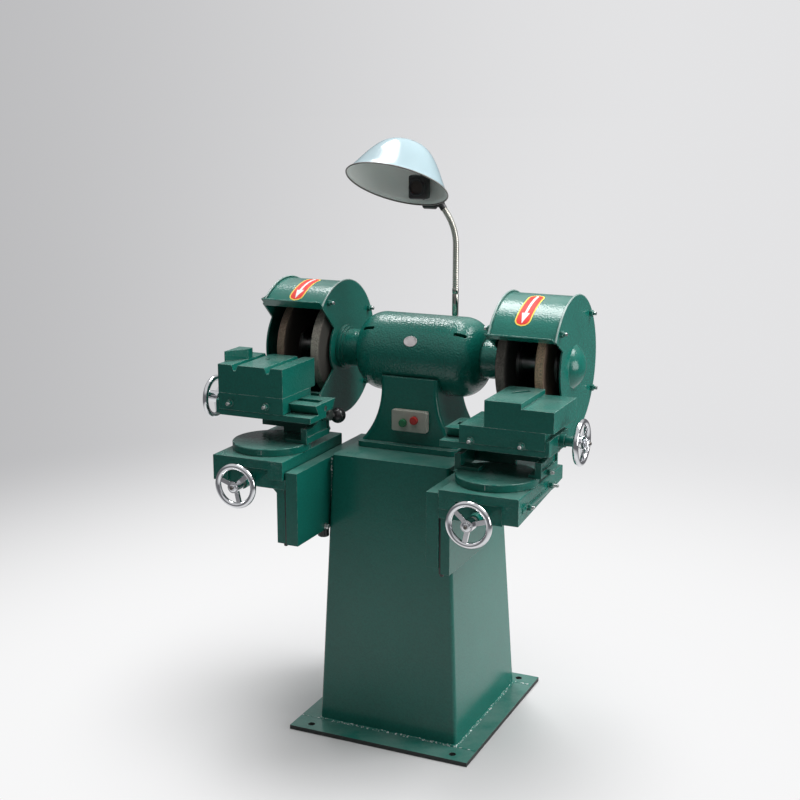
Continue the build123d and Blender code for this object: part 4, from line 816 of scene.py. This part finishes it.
class StudioSettings(bpy.types.PropertyGroup):
    """Floor, lamps and camera."""

    key_power: power_value("Key lamp", "Large lamp behind right", 88.0)
    top_power: power_value("Top lamp", "Soft box overhead, behind left", 112.0)
    ceiling_power: power_value("Ceiling lamp", "Wide light above that shiny pieces don't mirror", 125.0)
    side_power: power_value("Side lamp", "Soft light from the right", 48.0)
    ambient: FloatProperty(name="Ambient", description="Light of the surroundings", min=0, default=0.06)
    backdrop_left: colour_value("Backdrop left", "Backdrop on the shaded side", (0.46, 0.46, 0.47))
    backdrop_right: colour_value("Backdrop right", "Backdrop on the bright side", (0.77, 0.77, 0.78))
    room: colour_value("Room", "What shiny pieces mirror far from the machine", (0.17, 0.17, 0.18))
    room_top: colour_value("Room top", "What shiny pieces mirror from above", (0.72, 0.72, 0.73))
    floor: colour_value("Floor", "Studio floor as it is seen", (0.60, 0.60, 0.605))
    floor_bounce: colour_value("Floor bounce", "Studio floor as it lights the machine", (0.40, 0.40, 0.40))
    floor_glow: colour_value("Floor glow", "Even light of the floor near the machine", (0.93, 0.93, 0.935))
    shadow_near: length_value("Full shadow", "Up to where the floor keeps the whole shadow", 0.22)
    shadow_far: length_value("Shadow end", "Where the floor's even light has taken over", 0.9)
    floor_r: length_value("Floor radius", "Size of the floor", 60.0)
    near: length_value("Lit floor", "Where the lit floor starts to fade into the backdrop", 0.9)
    far: length_value("Backdrop floor", "Where the floor has the backdrop's colour", 2.8)
    lens: FloatProperty(name="Lens", description="Focal length of the camera in millimetres", default=61.02)
    eye: place_value("Eye", "Place of the camera", (1.2163, -2.7790, 1.4608))
    target: place_value("Target", "Point that the camera looks at", (-0.05068, 0.0, 0.75077))


class GRINDER_OT_paint_castings(bpy.types.Operator):
    """Hammer paint on the base, column, motor, guards and slides"""

    bl_idname = "grinder.paint_castings"
    bl_label = "Paint castings"

    def execute(self, context):
        colours = context.scene.grinder_colours
        green = colours.machine_green
        sheet = material("sheet_green", hammered_enamel, green, 0.4, 0.45)
        casting = material("casting_green", hammered_enamel, green, 0.85)
        motor = material("motor_green", hammered_enamel, green, 1.8, 0.1)
        paint_nodes(material("sheared_plate", sheared_plate, green, colours.oiled), "base_plate")
        paint_nodes(sheet, "column", *stations("wing", "knee", "guard_cover"))
        paint_nodes(motor, "motor_housing", *stations("end_bell"))
        cast_parts = stations("guard_shell", "saddle", "turntable", "tilt_bracket", "cross_rail", "carriage",
                              "knife_holder")
        paint_nodes(casting, "motor_base", *cast_parts)
        return {"FINISHED"}


class GRINDER_OT_finish_spindle(bpy.types.Operator):
    """Steel, core iron and grit on the spindle line"""

    bl_idname = "grinder.finish_spindle"
    bl_label = "Finish spindle"

    def execute(self, context):
        colours = context.scene.grinder_colours
        steel = material("spindle_steel", turned_steel, colours.steel)
        paint_nodes(steel, "spindle_shaft", "spindle_bearings", "spindle_nuts", "wheel_flanges",
                    "wheel_spacers")
        paint_nodes(material("core_sheets", laminated_iron, colours.core), "stator_core", "rotor_core")
        for wheel in stations("inner", "outer"):
            grit = material(f"{wheel}_grit", bonded_grit, getattr(colours, f"{wheel}_grit"))
            paint_nodes(grit, f"{wheel}_wheel")
        return {"FINISHED"}


class GRINDER_OT_finish_controls(bpy.types.Operator):
    """Chrome hand wheels, feed screws, levers, knobs, studs and push buttons"""

    bl_idname = "grinder.finish_controls"
    bl_label = "Finish controls"

    def execute(self, context):
        colours = context.scene.grinder_colours
        chrome = material("hand_wheel_chrome", chrome_plate, colours.chrome)
        steel = material("screw_steel", turned_steel, colours.steel)
        black = material("black_grip", moulded_plastic, colours.black, 0.22)
        bush = material("bush_and_screw", bush_and_screw, colours.machine_green, colours.steel)
        studs = material("nuts_and_studs", nuts_and_studs, colours.machine_green, colours.zinc)
        paint_nodes(chrome, *stations("front_hand_wheel", "side_hand_wheel"))
        paint_nodes(steel, *stations("saddle_screw", "tilt_clamp"))
        paint_nodes(bush, *stations("table_screw"))
        paint_nodes(black, *stations("lever_ball"))
        paint_nodes(studs, "guard_studs")
        for screw in stations("elevating_screw"):
            knob_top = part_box(screw)[0].z + KNOB_H
            knob = material("knob_and_screw", knob_and_screw, colours.black, colours.steel, knob_top)
            paint_nodes(knob, screw)
        switch = (("switch_plate", "switch_box", 0.35), ("start_button", "start_green", 0.25),
                  ("stop_button", "stop_red", 0.25))
        for name, colour, rough in switch:
            paint_nodes(material(colour, moulded_plastic, getattr(colours, colour), rough), name)
        return {"FINISHED"}


class GRINDER_OT_build_lamp(bpy.types.Operator):
    """Hose, holder and shade of the work lamp, and the finish of its stem and knuckle"""

    bl_idname = "grinder.build_lamp"
    bl_label = "Build lamp"

    def execute(self, context):
        colours = context.scene.grinder_colours
        plated = material("lamp_plating", chrome_plate, colours.nickel)
        paint_nodes(plated, "lamp_stem")
        black = material("lamp_black", moulded_plastic, colours.black, 0.3)
        paint_nodes(black, "lamp_knuckle")
        self.shade(colours)
        self.socket([black, material("socket_brown", moulded_plastic, colours.socket_brown, 0.5)])
        self.collar(plated)
        hose = self.hose(context.scene.grinder_sizes)
        piece = make_piece("lamp_hose", hose, [plated], "frame", angle=60.0)
        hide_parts("gooseneck")
        return {"FINISHED"}

    def shade(self, colours):
        """Spun bell with a dark rolled rim."""
        skins = [material("shade_outside", stove_enamel, colours.shade_outside, 0.12),
                 material("shade_inside", stove_enamel, colours.shade_inside, 0.4),
                 material("shade_rim", stove_enamel, colours.core, 0.3)]
        bm = bmesh.new()
        bell = self.bell()
        outside = [(BRIM_R, BRIM_H)] + bell + [(CROWN_R, bell[-1][1])]
        inside = [(radius - SHADE_WALL, height - SHADE_WALL) for radius, height in bell]
        inside = [(BRIM_R - SHADE_WALL, BRIM_H)] + inside + [(CROWN_R, inside[-1][1])]
        rim = [outside[0], *millimetres((119, 0.8), (118, -0.6), (116.6, -0.6)), inside[0]]
        for layer, profile in enumerate((outside, inside, rim)):
            spun(bm, profile, facing(SHADE_RIM, SHADE_AXIS), 96, layer)
        bmesh.ops.remove_doubles(bm, verts=bm.verts, dist=0.005 * MM)
        piece = make_piece("shade_bell", bm, skins, "lamp_head", angle=40.0)
        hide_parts("lamp_shade")

    def socket(self, layers):
        """Squarish lamp holder inside the shade with its empty socket, and the arm to the hinge's drum."""
        bm = bmesh.new()
        bar(bm, SOCKET - SOCKET_HALF, SOCKET + SOCKET_HALF, SOCKET_EDGE)
        mouth = facing(SOCKET + FRONT * SOCKET_HALF.y, FRONT)
        spun(bm, millimetres((15, -1), (19, -1), (19, 3), (18, 4), (15, 4)), mouth, 36, 0, closed_loop=True)
        # Dark disc in place of the socket's hollow: brown bakelite and painted shade.
        lathe(bm, millimetres((15.5, -1), (15.5, 0.6), (0.5, 0.6)), mouth, 36, 1)
        arm = HOLDER - SOCKET
        inner = HINGE_R - HINGE_EDGE
        lathe(bm, [(ARM_R, 0), (ARM_R, arm.length - inner)], facing(SOCKET, arm), 24)
        drum = [(HINGE_BORE, HINGE_START), (inner, HINGE_START), (HINGE_R, HINGE_START + HINGE_EDGE),
                (HINGE_R, HINGE_END - HINGE_EDGE), (inner, HINGE_END), (HINGE_BORE, HINGE_END)]
        spun(bm, drum, facing(HOLDER, outward("right")), 36, 0, closed_loop=True)
        piece = make_piece("lamp_socket", bm, layers, "lamp_head")
        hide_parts("lamp_holder")

    def bell(self):
        """Outer (radius, height) line of the bell from above its brim to its crown."""
        points = [Vector((*pair, 0)) for pair in millimetres((113, 6), (94, 34), (66, 97), (30, 98))]
        return [(point.x, point.y) for point in interpolate_bezier(*points, 20)]

    def collar(self, plated):
        """Plated sleeve where the hose is clamped in the stem."""
        bm = bmesh.new()
        place = facing(Vector((STEM.x, STEM.y, STEM_TOP - COLLAR_DROP)), UP)
        sleeve = millimetres((7.0, 0), (7.5, 1), (7.5, 50), (7.0, 51))
        lip = millimetres((7.0, 53), (7.6, 54), (7.6, 63), (6.8, 64.5))
        lathe(bm, sleeve + lip, place, 36)
        make_piece("hose_collar", bm, [plated], "frame")

    def hose(self, sizes):
        """Wound hose with one rounded rib to a turn."""
        bm = bmesh.new()
        radius, rise = hose_shape()
        length = rise + radius * HOSE_LEAN + HOSE_END_RUN
        pitch = length / sizes.hose_ribs
        steps = sizes.hose_ribs * 8
        rings = []
        for step in range(steps + 1):
            distance = length * step / steps
            centre, lean = hose_spot(distance)
            across = Vector((cos(lean), 0, sin(lean)))
            ring = []
            for turn in turns(20):
                wave = sqrt(abs(cos(pi * distance / pitch - turn / 2)))
                rib = sizes.hose_r - sizes.hose_groove * (1 - wave)
                ring.append(centre + (across * cos(turn) + BACK * sin(turn)) * rib)
            rings.append(ring)
        skin_rings(bm, rings)
        return bm


class GRINDER_OT_weld_frame(bpy.types.Operator):
    """Fillet weld beads around the column's foot and along the wing plates"""

    bl_idname = "grinder.weld_frame"
    bl_label = "Weld frame"

    def execute(self, context):
        sizes = context.scene.grinder_sizes
        paint = material("painted_weld", painted_weld, context.scene.grinder_colours.machine_green)
        step = sizes.ripple / 5
        low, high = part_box("column")
        plate_low, plate_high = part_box("base_plate")
        foot = bmesh.new()
        path = foot_path(low, high, plate_high.z, COLUMN_BEND, step)
        weld_bead(foot, path, sizes.bead, sizes.ripple, closed_loop=True)
        flat = (UP * 0.3 + BACK, UP * 0.3 + FRONT)
        for y in (low.y, high.y):
            for start, end in ((plate_low.x, low.x), (high.x, plate_high.x)):
                ends = [Vector((x, y, plate_high.z)) for x in (start + MM, end - MM)]
                weld_bead(foot, straight_path(*ends, *flat, step), FLAT_BEAD * sizes.bead, sizes.ripple)
        make_piece("column_weld", foot, [paint], "frame")
        for side in SIDES:
            ends = []
            wing_low, wing_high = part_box(f"{side}_wing")
            for z in (wing_low.z + sizes.bead, wing_high.z - sizes.bead):
                ends.append(Vector((SIGN[side] * WING_IN, self.column_front(z) + WING_PAD_SETBACK, z)))
            seam = bmesh.new()
            path = straight_path(*ends, -outward(side), FRONT, step)
            weld_bead(seam, path, sizes.bead, sizes.ripple)
            make_piece(f"{side}_wing_weld", seam, [paint], "frame")
        return {"FINISHED"}

    def column_front(self, z):
        """Front face of the tapered column at a height."""
        low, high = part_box("column")
        head = reach("column", 1, high.z - MM, high.z)[0]
        return low.y + (head - low.y) * (z - low.z) / (high.z - low.z)


class GRINDER_OT_fit_bolts(bpy.types.Operator):
    """Gib nuts of the slides and bolts of the brackets and wing plates"""

    bl_idname = "grinder.fit_bolts"
    bl_label = "Fit bolts"

    def execute(self, context):
        colours = context.scene.grinder_colours
        self.sizes = context.scene.grinder_sizes
        self.layers = [material("nut_paint", hammered_enamel, colours.machine_green, 0.3),
                       material("bolt_zinc", turned_steel, colours.zinc)]
        for side in SIDES:
            self.carriage_bolts(side)
            self.saddle_bolts(side)
            self.bracket_bolts(side)
            self.wing_bolt(side)
        return {"FINISHED"}

    def carriage_bolts(self, side):
        """Gib nuts on the carriage's front face."""
        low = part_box(f"{side}_carriage")[0]
        *across, height = CARRIAGE_NUTS[side]
        bm = bmesh.new()
        for x in across:
            spot = (SIGN[side] * x, low.y, low.z + height)
            place = facing(spot, FRONT)
            nut_on_stud(bm, place, self.sizes.gib_flats, height=8 * MM, tip=5 * MM, ring=GIB_WASHER_R)
        make_piece(f"{side}_carriage_bolts", bm, self.layers, f"{side}_table")

    def saddle_bolts(self, side):
        """Gib nuts on the saddle's outer face, with one long stud at the back."""
        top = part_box(f"{side}_saddle")[1].z
        x = outer_x(f"{side}_saddle", side)
        bm = bmesh.new()
        for y, drop, tip in SADDLE_NUTS:
            place = facing((x, y, top - drop), outward(side))
            nut_on_stud(bm, place, self.sizes.gib_flats, height=9 * MM, tip=tip, ring=GIB_WASHER_R)
        make_piece(f"{side}_saddle_bolts", bm, self.layers, f"{side}_saddle_slide")

    def bracket_bolts(self, side):
        """Bolt behind the bracket's inner cheek and, on the right, a nut on its outer cheek."""
        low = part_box(f"{side}_tilt_bracket")[0]
        behind = reach(f"{side}_tilt_bracket", 1, low.z, low.z + 2 * CHEEK_BOLT_H)[1]
        bm = bmesh.new()
        place = facing((SIGN[side] * CHEEK_X, behind, low.z + CHEEK_BOLT_H), BACK)
        nut_on_stud(bm, place, flats=12 * MM, height=8 * MM, tip=2 * MM)
        if side == "right":
            spot = (CHEEK_OUT, CHEEK_NUT_Y, low.z + CHEEK_NUT_H)
            nut_on_stud(bm, facing(spot, outward(side)), flats=11 * MM, height=8 * MM, tip=6 * MM)
        make_piece(f"{side}_bracket_bolts", bm, self.layers, f"{side}_swivel")

    def wing_bolt(self, side):
        """Bright bolt at the lower edge of the wing's inner face."""
        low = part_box(f"{side}_wing")[0]
        place = facing((SIGN[side] * WING_IN, WING_BOLT_Y, low.z + WING_BOLT_H), -outward(side))
        bm = bmesh.new()
        washer(bm, place, radius=8 * MM, thickness=WASHER_T, layer=1)
        hex_nut(bm, lifted(place, WASHER_T), flats=11 * MM, height=7 * MM, layer=1)
        make_piece(f"{side}_wing_bolt", bm, self.layers, "frame")


class GRINDER_OT_fit_gibs(bpy.types.Operator):
    """Gib strips of the knees and saddles, their adjusting screws and the turntables' index marks"""

    bl_idname = "grinder.fit_gibs"
    bl_label = "Fit gibs"

    def execute(self, context):
        colours = context.scene.grinder_colours
        oiled = material("oiled_strip", moulded_plastic, colours.oiled, 0.35)
        paint = material("strip_paint", hammered_enamel, colours.machine_green, 0.3)
        bright = material("index_line", turned_steel, colours.zinc)
        for side in SIDES:
            self.knee_gib(side, oiled)
            self.saddle_gib(side, paint)
            self.index_mark(side, bright)
        return {"FINISHED"}

    def knee_gib(self, side, oiled):
        """Strip in the joint of knee and wing, with its adjusting screw below."""
        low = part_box(f"{side}_knee")[0]
        front = reach(f"{side}_knee", 1, low.z, low.z + KNEE_FRONT_H)[0]
        across = [SIGN[side] * (WING_OUT + x) for x in KNEE_GIB_X]
        along = [front + y for y in KNEE_GIB_Y]
        bm = bmesh.new()
        strip(bm, across, along, (low.z, low.z + KNEE_GIB_L), KNEE_GIB_EDGE)
        x, y, z = KNEE_SCREW
        place = facing((SIGN[side] * (WING_OUT + x), front + y, low.z + z), -UP)
        lathe(bm, millimetres((4.4, 0), (4.4, 4), (3.6, 6), (2, 6.4)), place, 20)
        make_piece(f"{side}_knee_gib", bm, [oiled], f"{side}_knee_slide")

    def saddle_gib(self, side, paint):
        """Raised strip along the saddle's outer face."""
        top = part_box(f"{side}_saddle")[1].z
        x = outer_x(f"{side}_saddle", side)
        across = [x + SIGN[side] * out for out in SADDLE_GIB_X]
        heights = [top - drop for drop in SADDLE_GIB_DROP]
        bm = bmesh.new()
        strip(bm, across, SADDLE_GIB_Y, heights, SADDLE_GIB_EDGE)
        make_piece(f"{side}_saddle_gib", bm, [paint], f"{side}_saddle_slide")

    def index_mark(self, side, bright):
        """Thin line on the turntable's front rim."""
        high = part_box(f"{side}_turntable")[1]
        start, end = reach(f"{side}_turntable", 0, high.z - DISC_T, high.z)
        radius = (end - start) / 2
        centre = middle(f"{side}_turntable")
        turn = radians(INDEX_TURN[side])
        across = Vector((cos(turn), sin(turn), 0))
        out = Vector((sin(turn), -cos(turn), 0))
        base = Vector((centre.x, centre.y, 0)) + out * radius
        bm = bmesh.new()
        rings = []
        for drop in INDEX_DROPS:
            rings.append([base + across * (INDEX_HALF * a) + out * (INDEX_DEPTH * b) + UP * (high.z - drop)
                          for a, b in ((-1, -1), (1, -1), (1, 1), (-1, 1))])
        skin_rings(bm, rings)
        make_piece(f"{side}_index_mark", bm, [bright], f"{side}_swivel")


class GRINDER_OT_cap_hand_wheels(bpy.types.Operator):
    """Washer, nut and screw end on each hand wheel's hub"""

    bl_idname = "grinder.cap_hand_wheels"
    bl_label = "Cap hand wheels"

    def execute(self, context):
        colours = context.scene.grinder_colours
        layers = [material("hub_chrome", chrome_plate, colours.chrome),
                  material("hub_steel", turned_steel, colours.core)]
        flats = context.scene.grinder_sizes.hub_flats
        for side in SIDES:
            spot = middle(f"{side}_front_hand_wheel")
            spot.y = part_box(f"{side}_front_hand_wheel")[0].y
            self.cap(f"{side}_front_hub_nut", facing(spot, FRONT), flats, layers, f"{side}_saddle_feed")
            spot = middle(f"{side}_side_hand_wheel")
            spot.x = outer_x(f"{side}_side_hand_wheel", side)
            place = facing(spot, outward(side))
            self.cap(f"{side}_side_hub_nut", place, flats, layers, f"{side}_table_feed")
        return {"FINISHED"}

    def cap(self, name, place, flats, layers, body):
        """Makes one hub's nut on its body."""
        bm = bmesh.new()
        nut_on_stud(bm, place, flats, height=4 * MM, tip=2 * MM, ring=flats * 0.78, ring_t=HUB_WASHER_T,
                    thread=0.31)
        make_piece(name, bm, layers, body)


class GRINDER_OT_mark_guards(bpy.types.Operator):
    """Rounded rims and turning arrows of the guards and the bare oval plate on the motor"""

    bl_idname = "grinder.mark_guards"
    bl_label = "Mark guards"

    def execute(self, context):
        colours = context.scene.grinder_colours
        sizes = context.scene.grinder_sizes
        films = [material(film, printed_film, getattr(colours, film))
                 for film in ("arrow_yellow", "arrow_red", "arrow_white")]
        # The rims' paler green is a painted highlight along the guards' edges.
        rim_paint = material("rim_paint", hammered_enamel, pale(colours.machine_green, 0.28), 0.2, 0.3)
        for side in SIDES:
            self.arrow(side, sizes.arrow_half, films)
        for side in SIDES:
            self.rims(side, rim_paint)
        self.badge(sizes, material("badge_metal", turned_steel, colours.badge))
        return {"FINISHED"}

    def rims(self, side, paint):
        """Round edges of a guard's two side plates, open at its mouth."""
        top, bottom = (radians(angle) for angle in MOUTH[side])
        steps = 120
        bm = bmesh.new()
        for across in (GUARD_IN + GUARD_PLATE / 2, GUARD_OUT - GUARD_PLATE / 2):
            x = MOTOR_X + SIGN[side] * across
            rings = []
            for step in range(steps + 1):
                angle = top - (tau - bottom + top) * step / steps
                ring = []
                for turn in turns(12):
                    lift = GUARD_R - DRUM_R - RIM_SINK + RIM_BEAD * sin(turn)
                    ring.append(drum_point(x + RIM_BEAD * cos(turn), angle, lift))
                rings.append(ring)
            skin_rings(bm, rings)
        make_piece(f"{side}_guard_rims", bm, [paint], "frame")

    def arrow(self, side, half, films):
        """Round-ended band with a border and an arrow that points down the drum."""
        x, start, end, slant = ARROWS[side]
        top = radians(start)
        bottom = radians(end)
        inner = ARROW_BORDER / DRUM_R
        tip = bottom - 2.4 * inner
        neck = tip - ARROW_HEAD
        tail = top + 2.4 * inner
        arrow = [(tail + (neck - tail) * k / 12, ARROW_SHAFT_HALF) for k in range(13)]
        arrow += [(neck + ARROW_HEAD * k / 8, ARROW_HEAD_HALF * (1 - k / 8) + POINT) for k in range(9)]
        band = pill_rows(top, bottom, half)
        field = pill_rows(top + inner, bottom - inner, half - ARROW_BORDER)
        bm = bmesh.new()
        for layer, rows in enumerate((band, field, arrow)):
            strip_on_drum(bm, x, rows, FILM_LIFTS[layer], slant, layer)
        make_piece(f"{side}_turning_arrow", bm, films, "frame")

    def badge(self, sizes, metal):
        """Bare oval plate that follows the motor's curve, with a raised rim."""
        bm = bmesh.new()
        height = BADGE_Z - SPINDLE.z
        rings = []
        for share, lift in ((1.0, 0.0), (1.0, 1.2), (0.9, 1.2), (0.86, 0.8), (0.4, 0.8), (0.02, 0.8)):
            ring = []
            radius = MOTOR_R + lift * MM
            for turn in turns(48):
                x = MOTOR_X + sizes.badge_x / 2 * share * cos(turn)
                arc = (height + sizes.badge_z / 2 * share * sin(turn)) / MOTOR_R
                ring.append(Vector((x, SPINDLE.y - radius * cos(arc), SPINDLE.z + radius * sin(arc))))
            rings.append(ring)
        skin_rings(bm, rings)
        make_piece("motor_badge", bm, [metal], "frame")


class GRINDER_OT_set_studio(bpy.types.Operator):
    """Floor, backdrop, lamps and camera"""

    bl_idname = "grinder.set_studio"
    bl_label = "Set studio"

    def execute(self, context):
        studio = context.scene.grinder_studio
        context.scene.view_settings.view_transform = "Standard"
        self.floor(studio)
        self.world(context.scene, studio)
        for key, row in LAMPS.items():
            lamp = self.lamp(f"{key}_lamp", getattr(studio, f"{key}_power"), *row)
            lamp.visible_glossy = key != "ceiling"
        self.camera(context.scene, studio)
        return {"FINISHED"}

    def backdrop(self, finish, studio, across):
        """Backdrop's colour, brighter towards the right."""
        bright = finish.fade(across, *BACKDROP_FADE)
        return finish.mix(bright, (*studio.backdrop_left, 1), (*studio.backdrop_right, 1))

    def mirrored(self, finish, seen, room):
        """One colour where it is seen and another where shiny pieces mirror it."""
        return finish.mix(finish.node("ShaderNodeLightPath", output="Is Glossy Ray"), seen, room)

    def floor(self, studio):
        """Lit floor that passes into the backdrop's colour far from the machine."""
        bm = bmesh.new()
        bmesh.ops.create_circle(bm, cap_ends=True, segments=96, radius=studio.floor_r)
        mesh = bpy.data.meshes.new("studio_floor")
        bm.to_mesh(mesh)
        bm.free()
        finish = Finish(bpy.data.materials.new("studio_floor"))
        place = finish.place()
        distance = finish.vector("LENGTH", place, (0, 0, 0), VECTOR_VALUE)
        clouds = finish.noise(1.3, 3.0)
        seen = finish.seen()
        tint = finish.toned(clouds, studio.floor, 0.985, 1.01)
        tint = finish.mix(seen, (*studio.floor_bounce, 1), tint)
        lit = finish.shader(Base_Color=tint, Roughness=0.8, Specular_IOR_Level=0.2)
        across = finish.along(place, 0) / (distance + studio.near)
        away = finish.fade(distance, studio.near, studio.far)
        far_tint = self.mirrored(finish, self.backdrop(finish, studio, across), (*studio.room, 1))
        glow_tint = finish.mix(away, (*studio.floor_glow, 1), far_tint)
        glow = finish.node("ShaderNodeEmission", None, {"Color": glow_tint})
        share = finish.fade(distance, studio.shadow_near, studio.shadow_far) * seen
        mesh.materials.append(finish.close(finish.either(share, lit, glow)))
        floor = bpy.data.objects.new("studio_floor", mesh)
        bpy.context.scene.collection.objects.link(floor)

    def world(self, scene, studio):
        """Pale backdrop for what is seen, a dimmer room in what shiny pieces mirror, and an even light."""
        scene.world = bpy.data.worlds.new("studio_world")
        finish = Finish(scene.world)
        direction = finish.node("ShaderNodeTexCoord", output=WORLD_DIRECTION)
        high = finish.fade(finish.along(direction, 2), *ROOM_FADE)
        room = finish.mix(high, (*studio.room, 1), (*studio.room_top, 1))
        tint = self.mirrored(finish, self.backdrop(finish, studio, finish.along(direction, 0)), room)
        shown = finish.node("ShaderNodeBackground", None, {"Color": tint})
        even = {"Color": (1, 1, 1, 1), "Strength": studio.ambient}
        light = finish.node("ShaderNodeBackground", None, even)
        finish.close(finish.either(finish.seen(), light, shown), "World")

    def lamp(self, name, power, spot, aim, width, depth):
        """Soft box at a spot that lights towards a point."""
        light = bpy.data.lights.new(name, "AREA")
        light.energy = power
        light.shape = "RECTANGLE"
        light.size = width
        light.size_y = depth
        lamp = bpy.data.objects.new(name, light)
        lamp.matrix_world = facing(spot, Vector(spot) - Vector(aim))
        lamp.visible_camera = False
        bpy.context.scene.collection.objects.link(lamp)
        return lamp

    def camera(self, scene, studio):
        """Camera at the photograph's viewing angle."""
        data = bpy.data.cameras.new("photo_view")
        data.lens = studio.lens
        data.sensor_width = 36.0
        data.clip_end = 200.0
        camera = bpy.data.objects.new("photo_view", data)
        eye = Vector(studio.eye)
        turn = (Vector(studio.target) - eye).to_track_quat("-Z", "Y").to_matrix().to_4x4()
        camera.matrix_world = Matrix.Translation(eye) @ turn
        scene.collection.objects.link(camera)
        scene.camera = camera


class GRINDER_PT_panel(bpy.types.Panel):
    """Colours, sizes and build steps of the knife grinding machine"""

    bl_idname = "GRINDER_PT_panel"
    bl_label = "Knife grinding machine"
    bl_space_type = "VIEW_3D"
    bl_region_type = "UI"
    bl_category = "Grinder"

    def draw(self, context):
        for operator in OPERATORS:
            self.layout.operator(operator.bl_idname)
        for name in GROUPS:
            group = getattr(context.scene, name)
            for key in group.__annotations__:
                self.layout.prop(group, key)


OPERATORS = (GRINDER_OT_paint_castings, GRINDER_OT_finish_spindle, GRINDER_OT_finish_controls,
             GRINDER_OT_build_lamp, GRINDER_OT_weld_frame, GRINDER_OT_fit_bolts, GRINDER_OT_fit_gibs,
             GRINDER_OT_cap_hand_wheels, GRINDER_OT_mark_guards, GRINDER_OT_set_studio)
GROUPS = {"grinder_colours": EnamelColours, "grinder_sizes": FittingSizes, "grinder_studio": StudioSettings}


def register():
    for name, group in GROUPS.items():
        bpy.utils.register_class(group)
        setattr(bpy.types.Scene, name, PointerProperty(type=group))
    for operator in OPERATORS:
        bpy.utils.register_class(operator)
    bpy.utils.register_class(GRINDER_PT_panel)


def unregister():
    bpy.utils.unregister_class(GRINDER_PT_panel)
    for operator in reversed(OPERATORS):
        bpy.utils.unregister_class(operator)
    for name, group in GROUPS.items():
        delattr(bpy.types.Scene, name)
        bpy.utils.unregister_class(group)


def main():
    register()
    bpy.ops.grinder.paint_castings()
    bpy.ops.grinder.finish_spindle()
    bpy.ops.grinder.finish_controls()
    bpy.ops.grinder.build_lamp()
    bpy.ops.grinder.weld_frame()
    bpy.ops.grinder.fit_bolts()
    bpy.ops.grinder.fit_gibs()
    bpy.ops.grinder.cap_hand_wheels()
    bpy.ops.grinder.mark_guards()
    bpy.ops.grinder.set_studio()


if __name__ == "__main__":
    main()
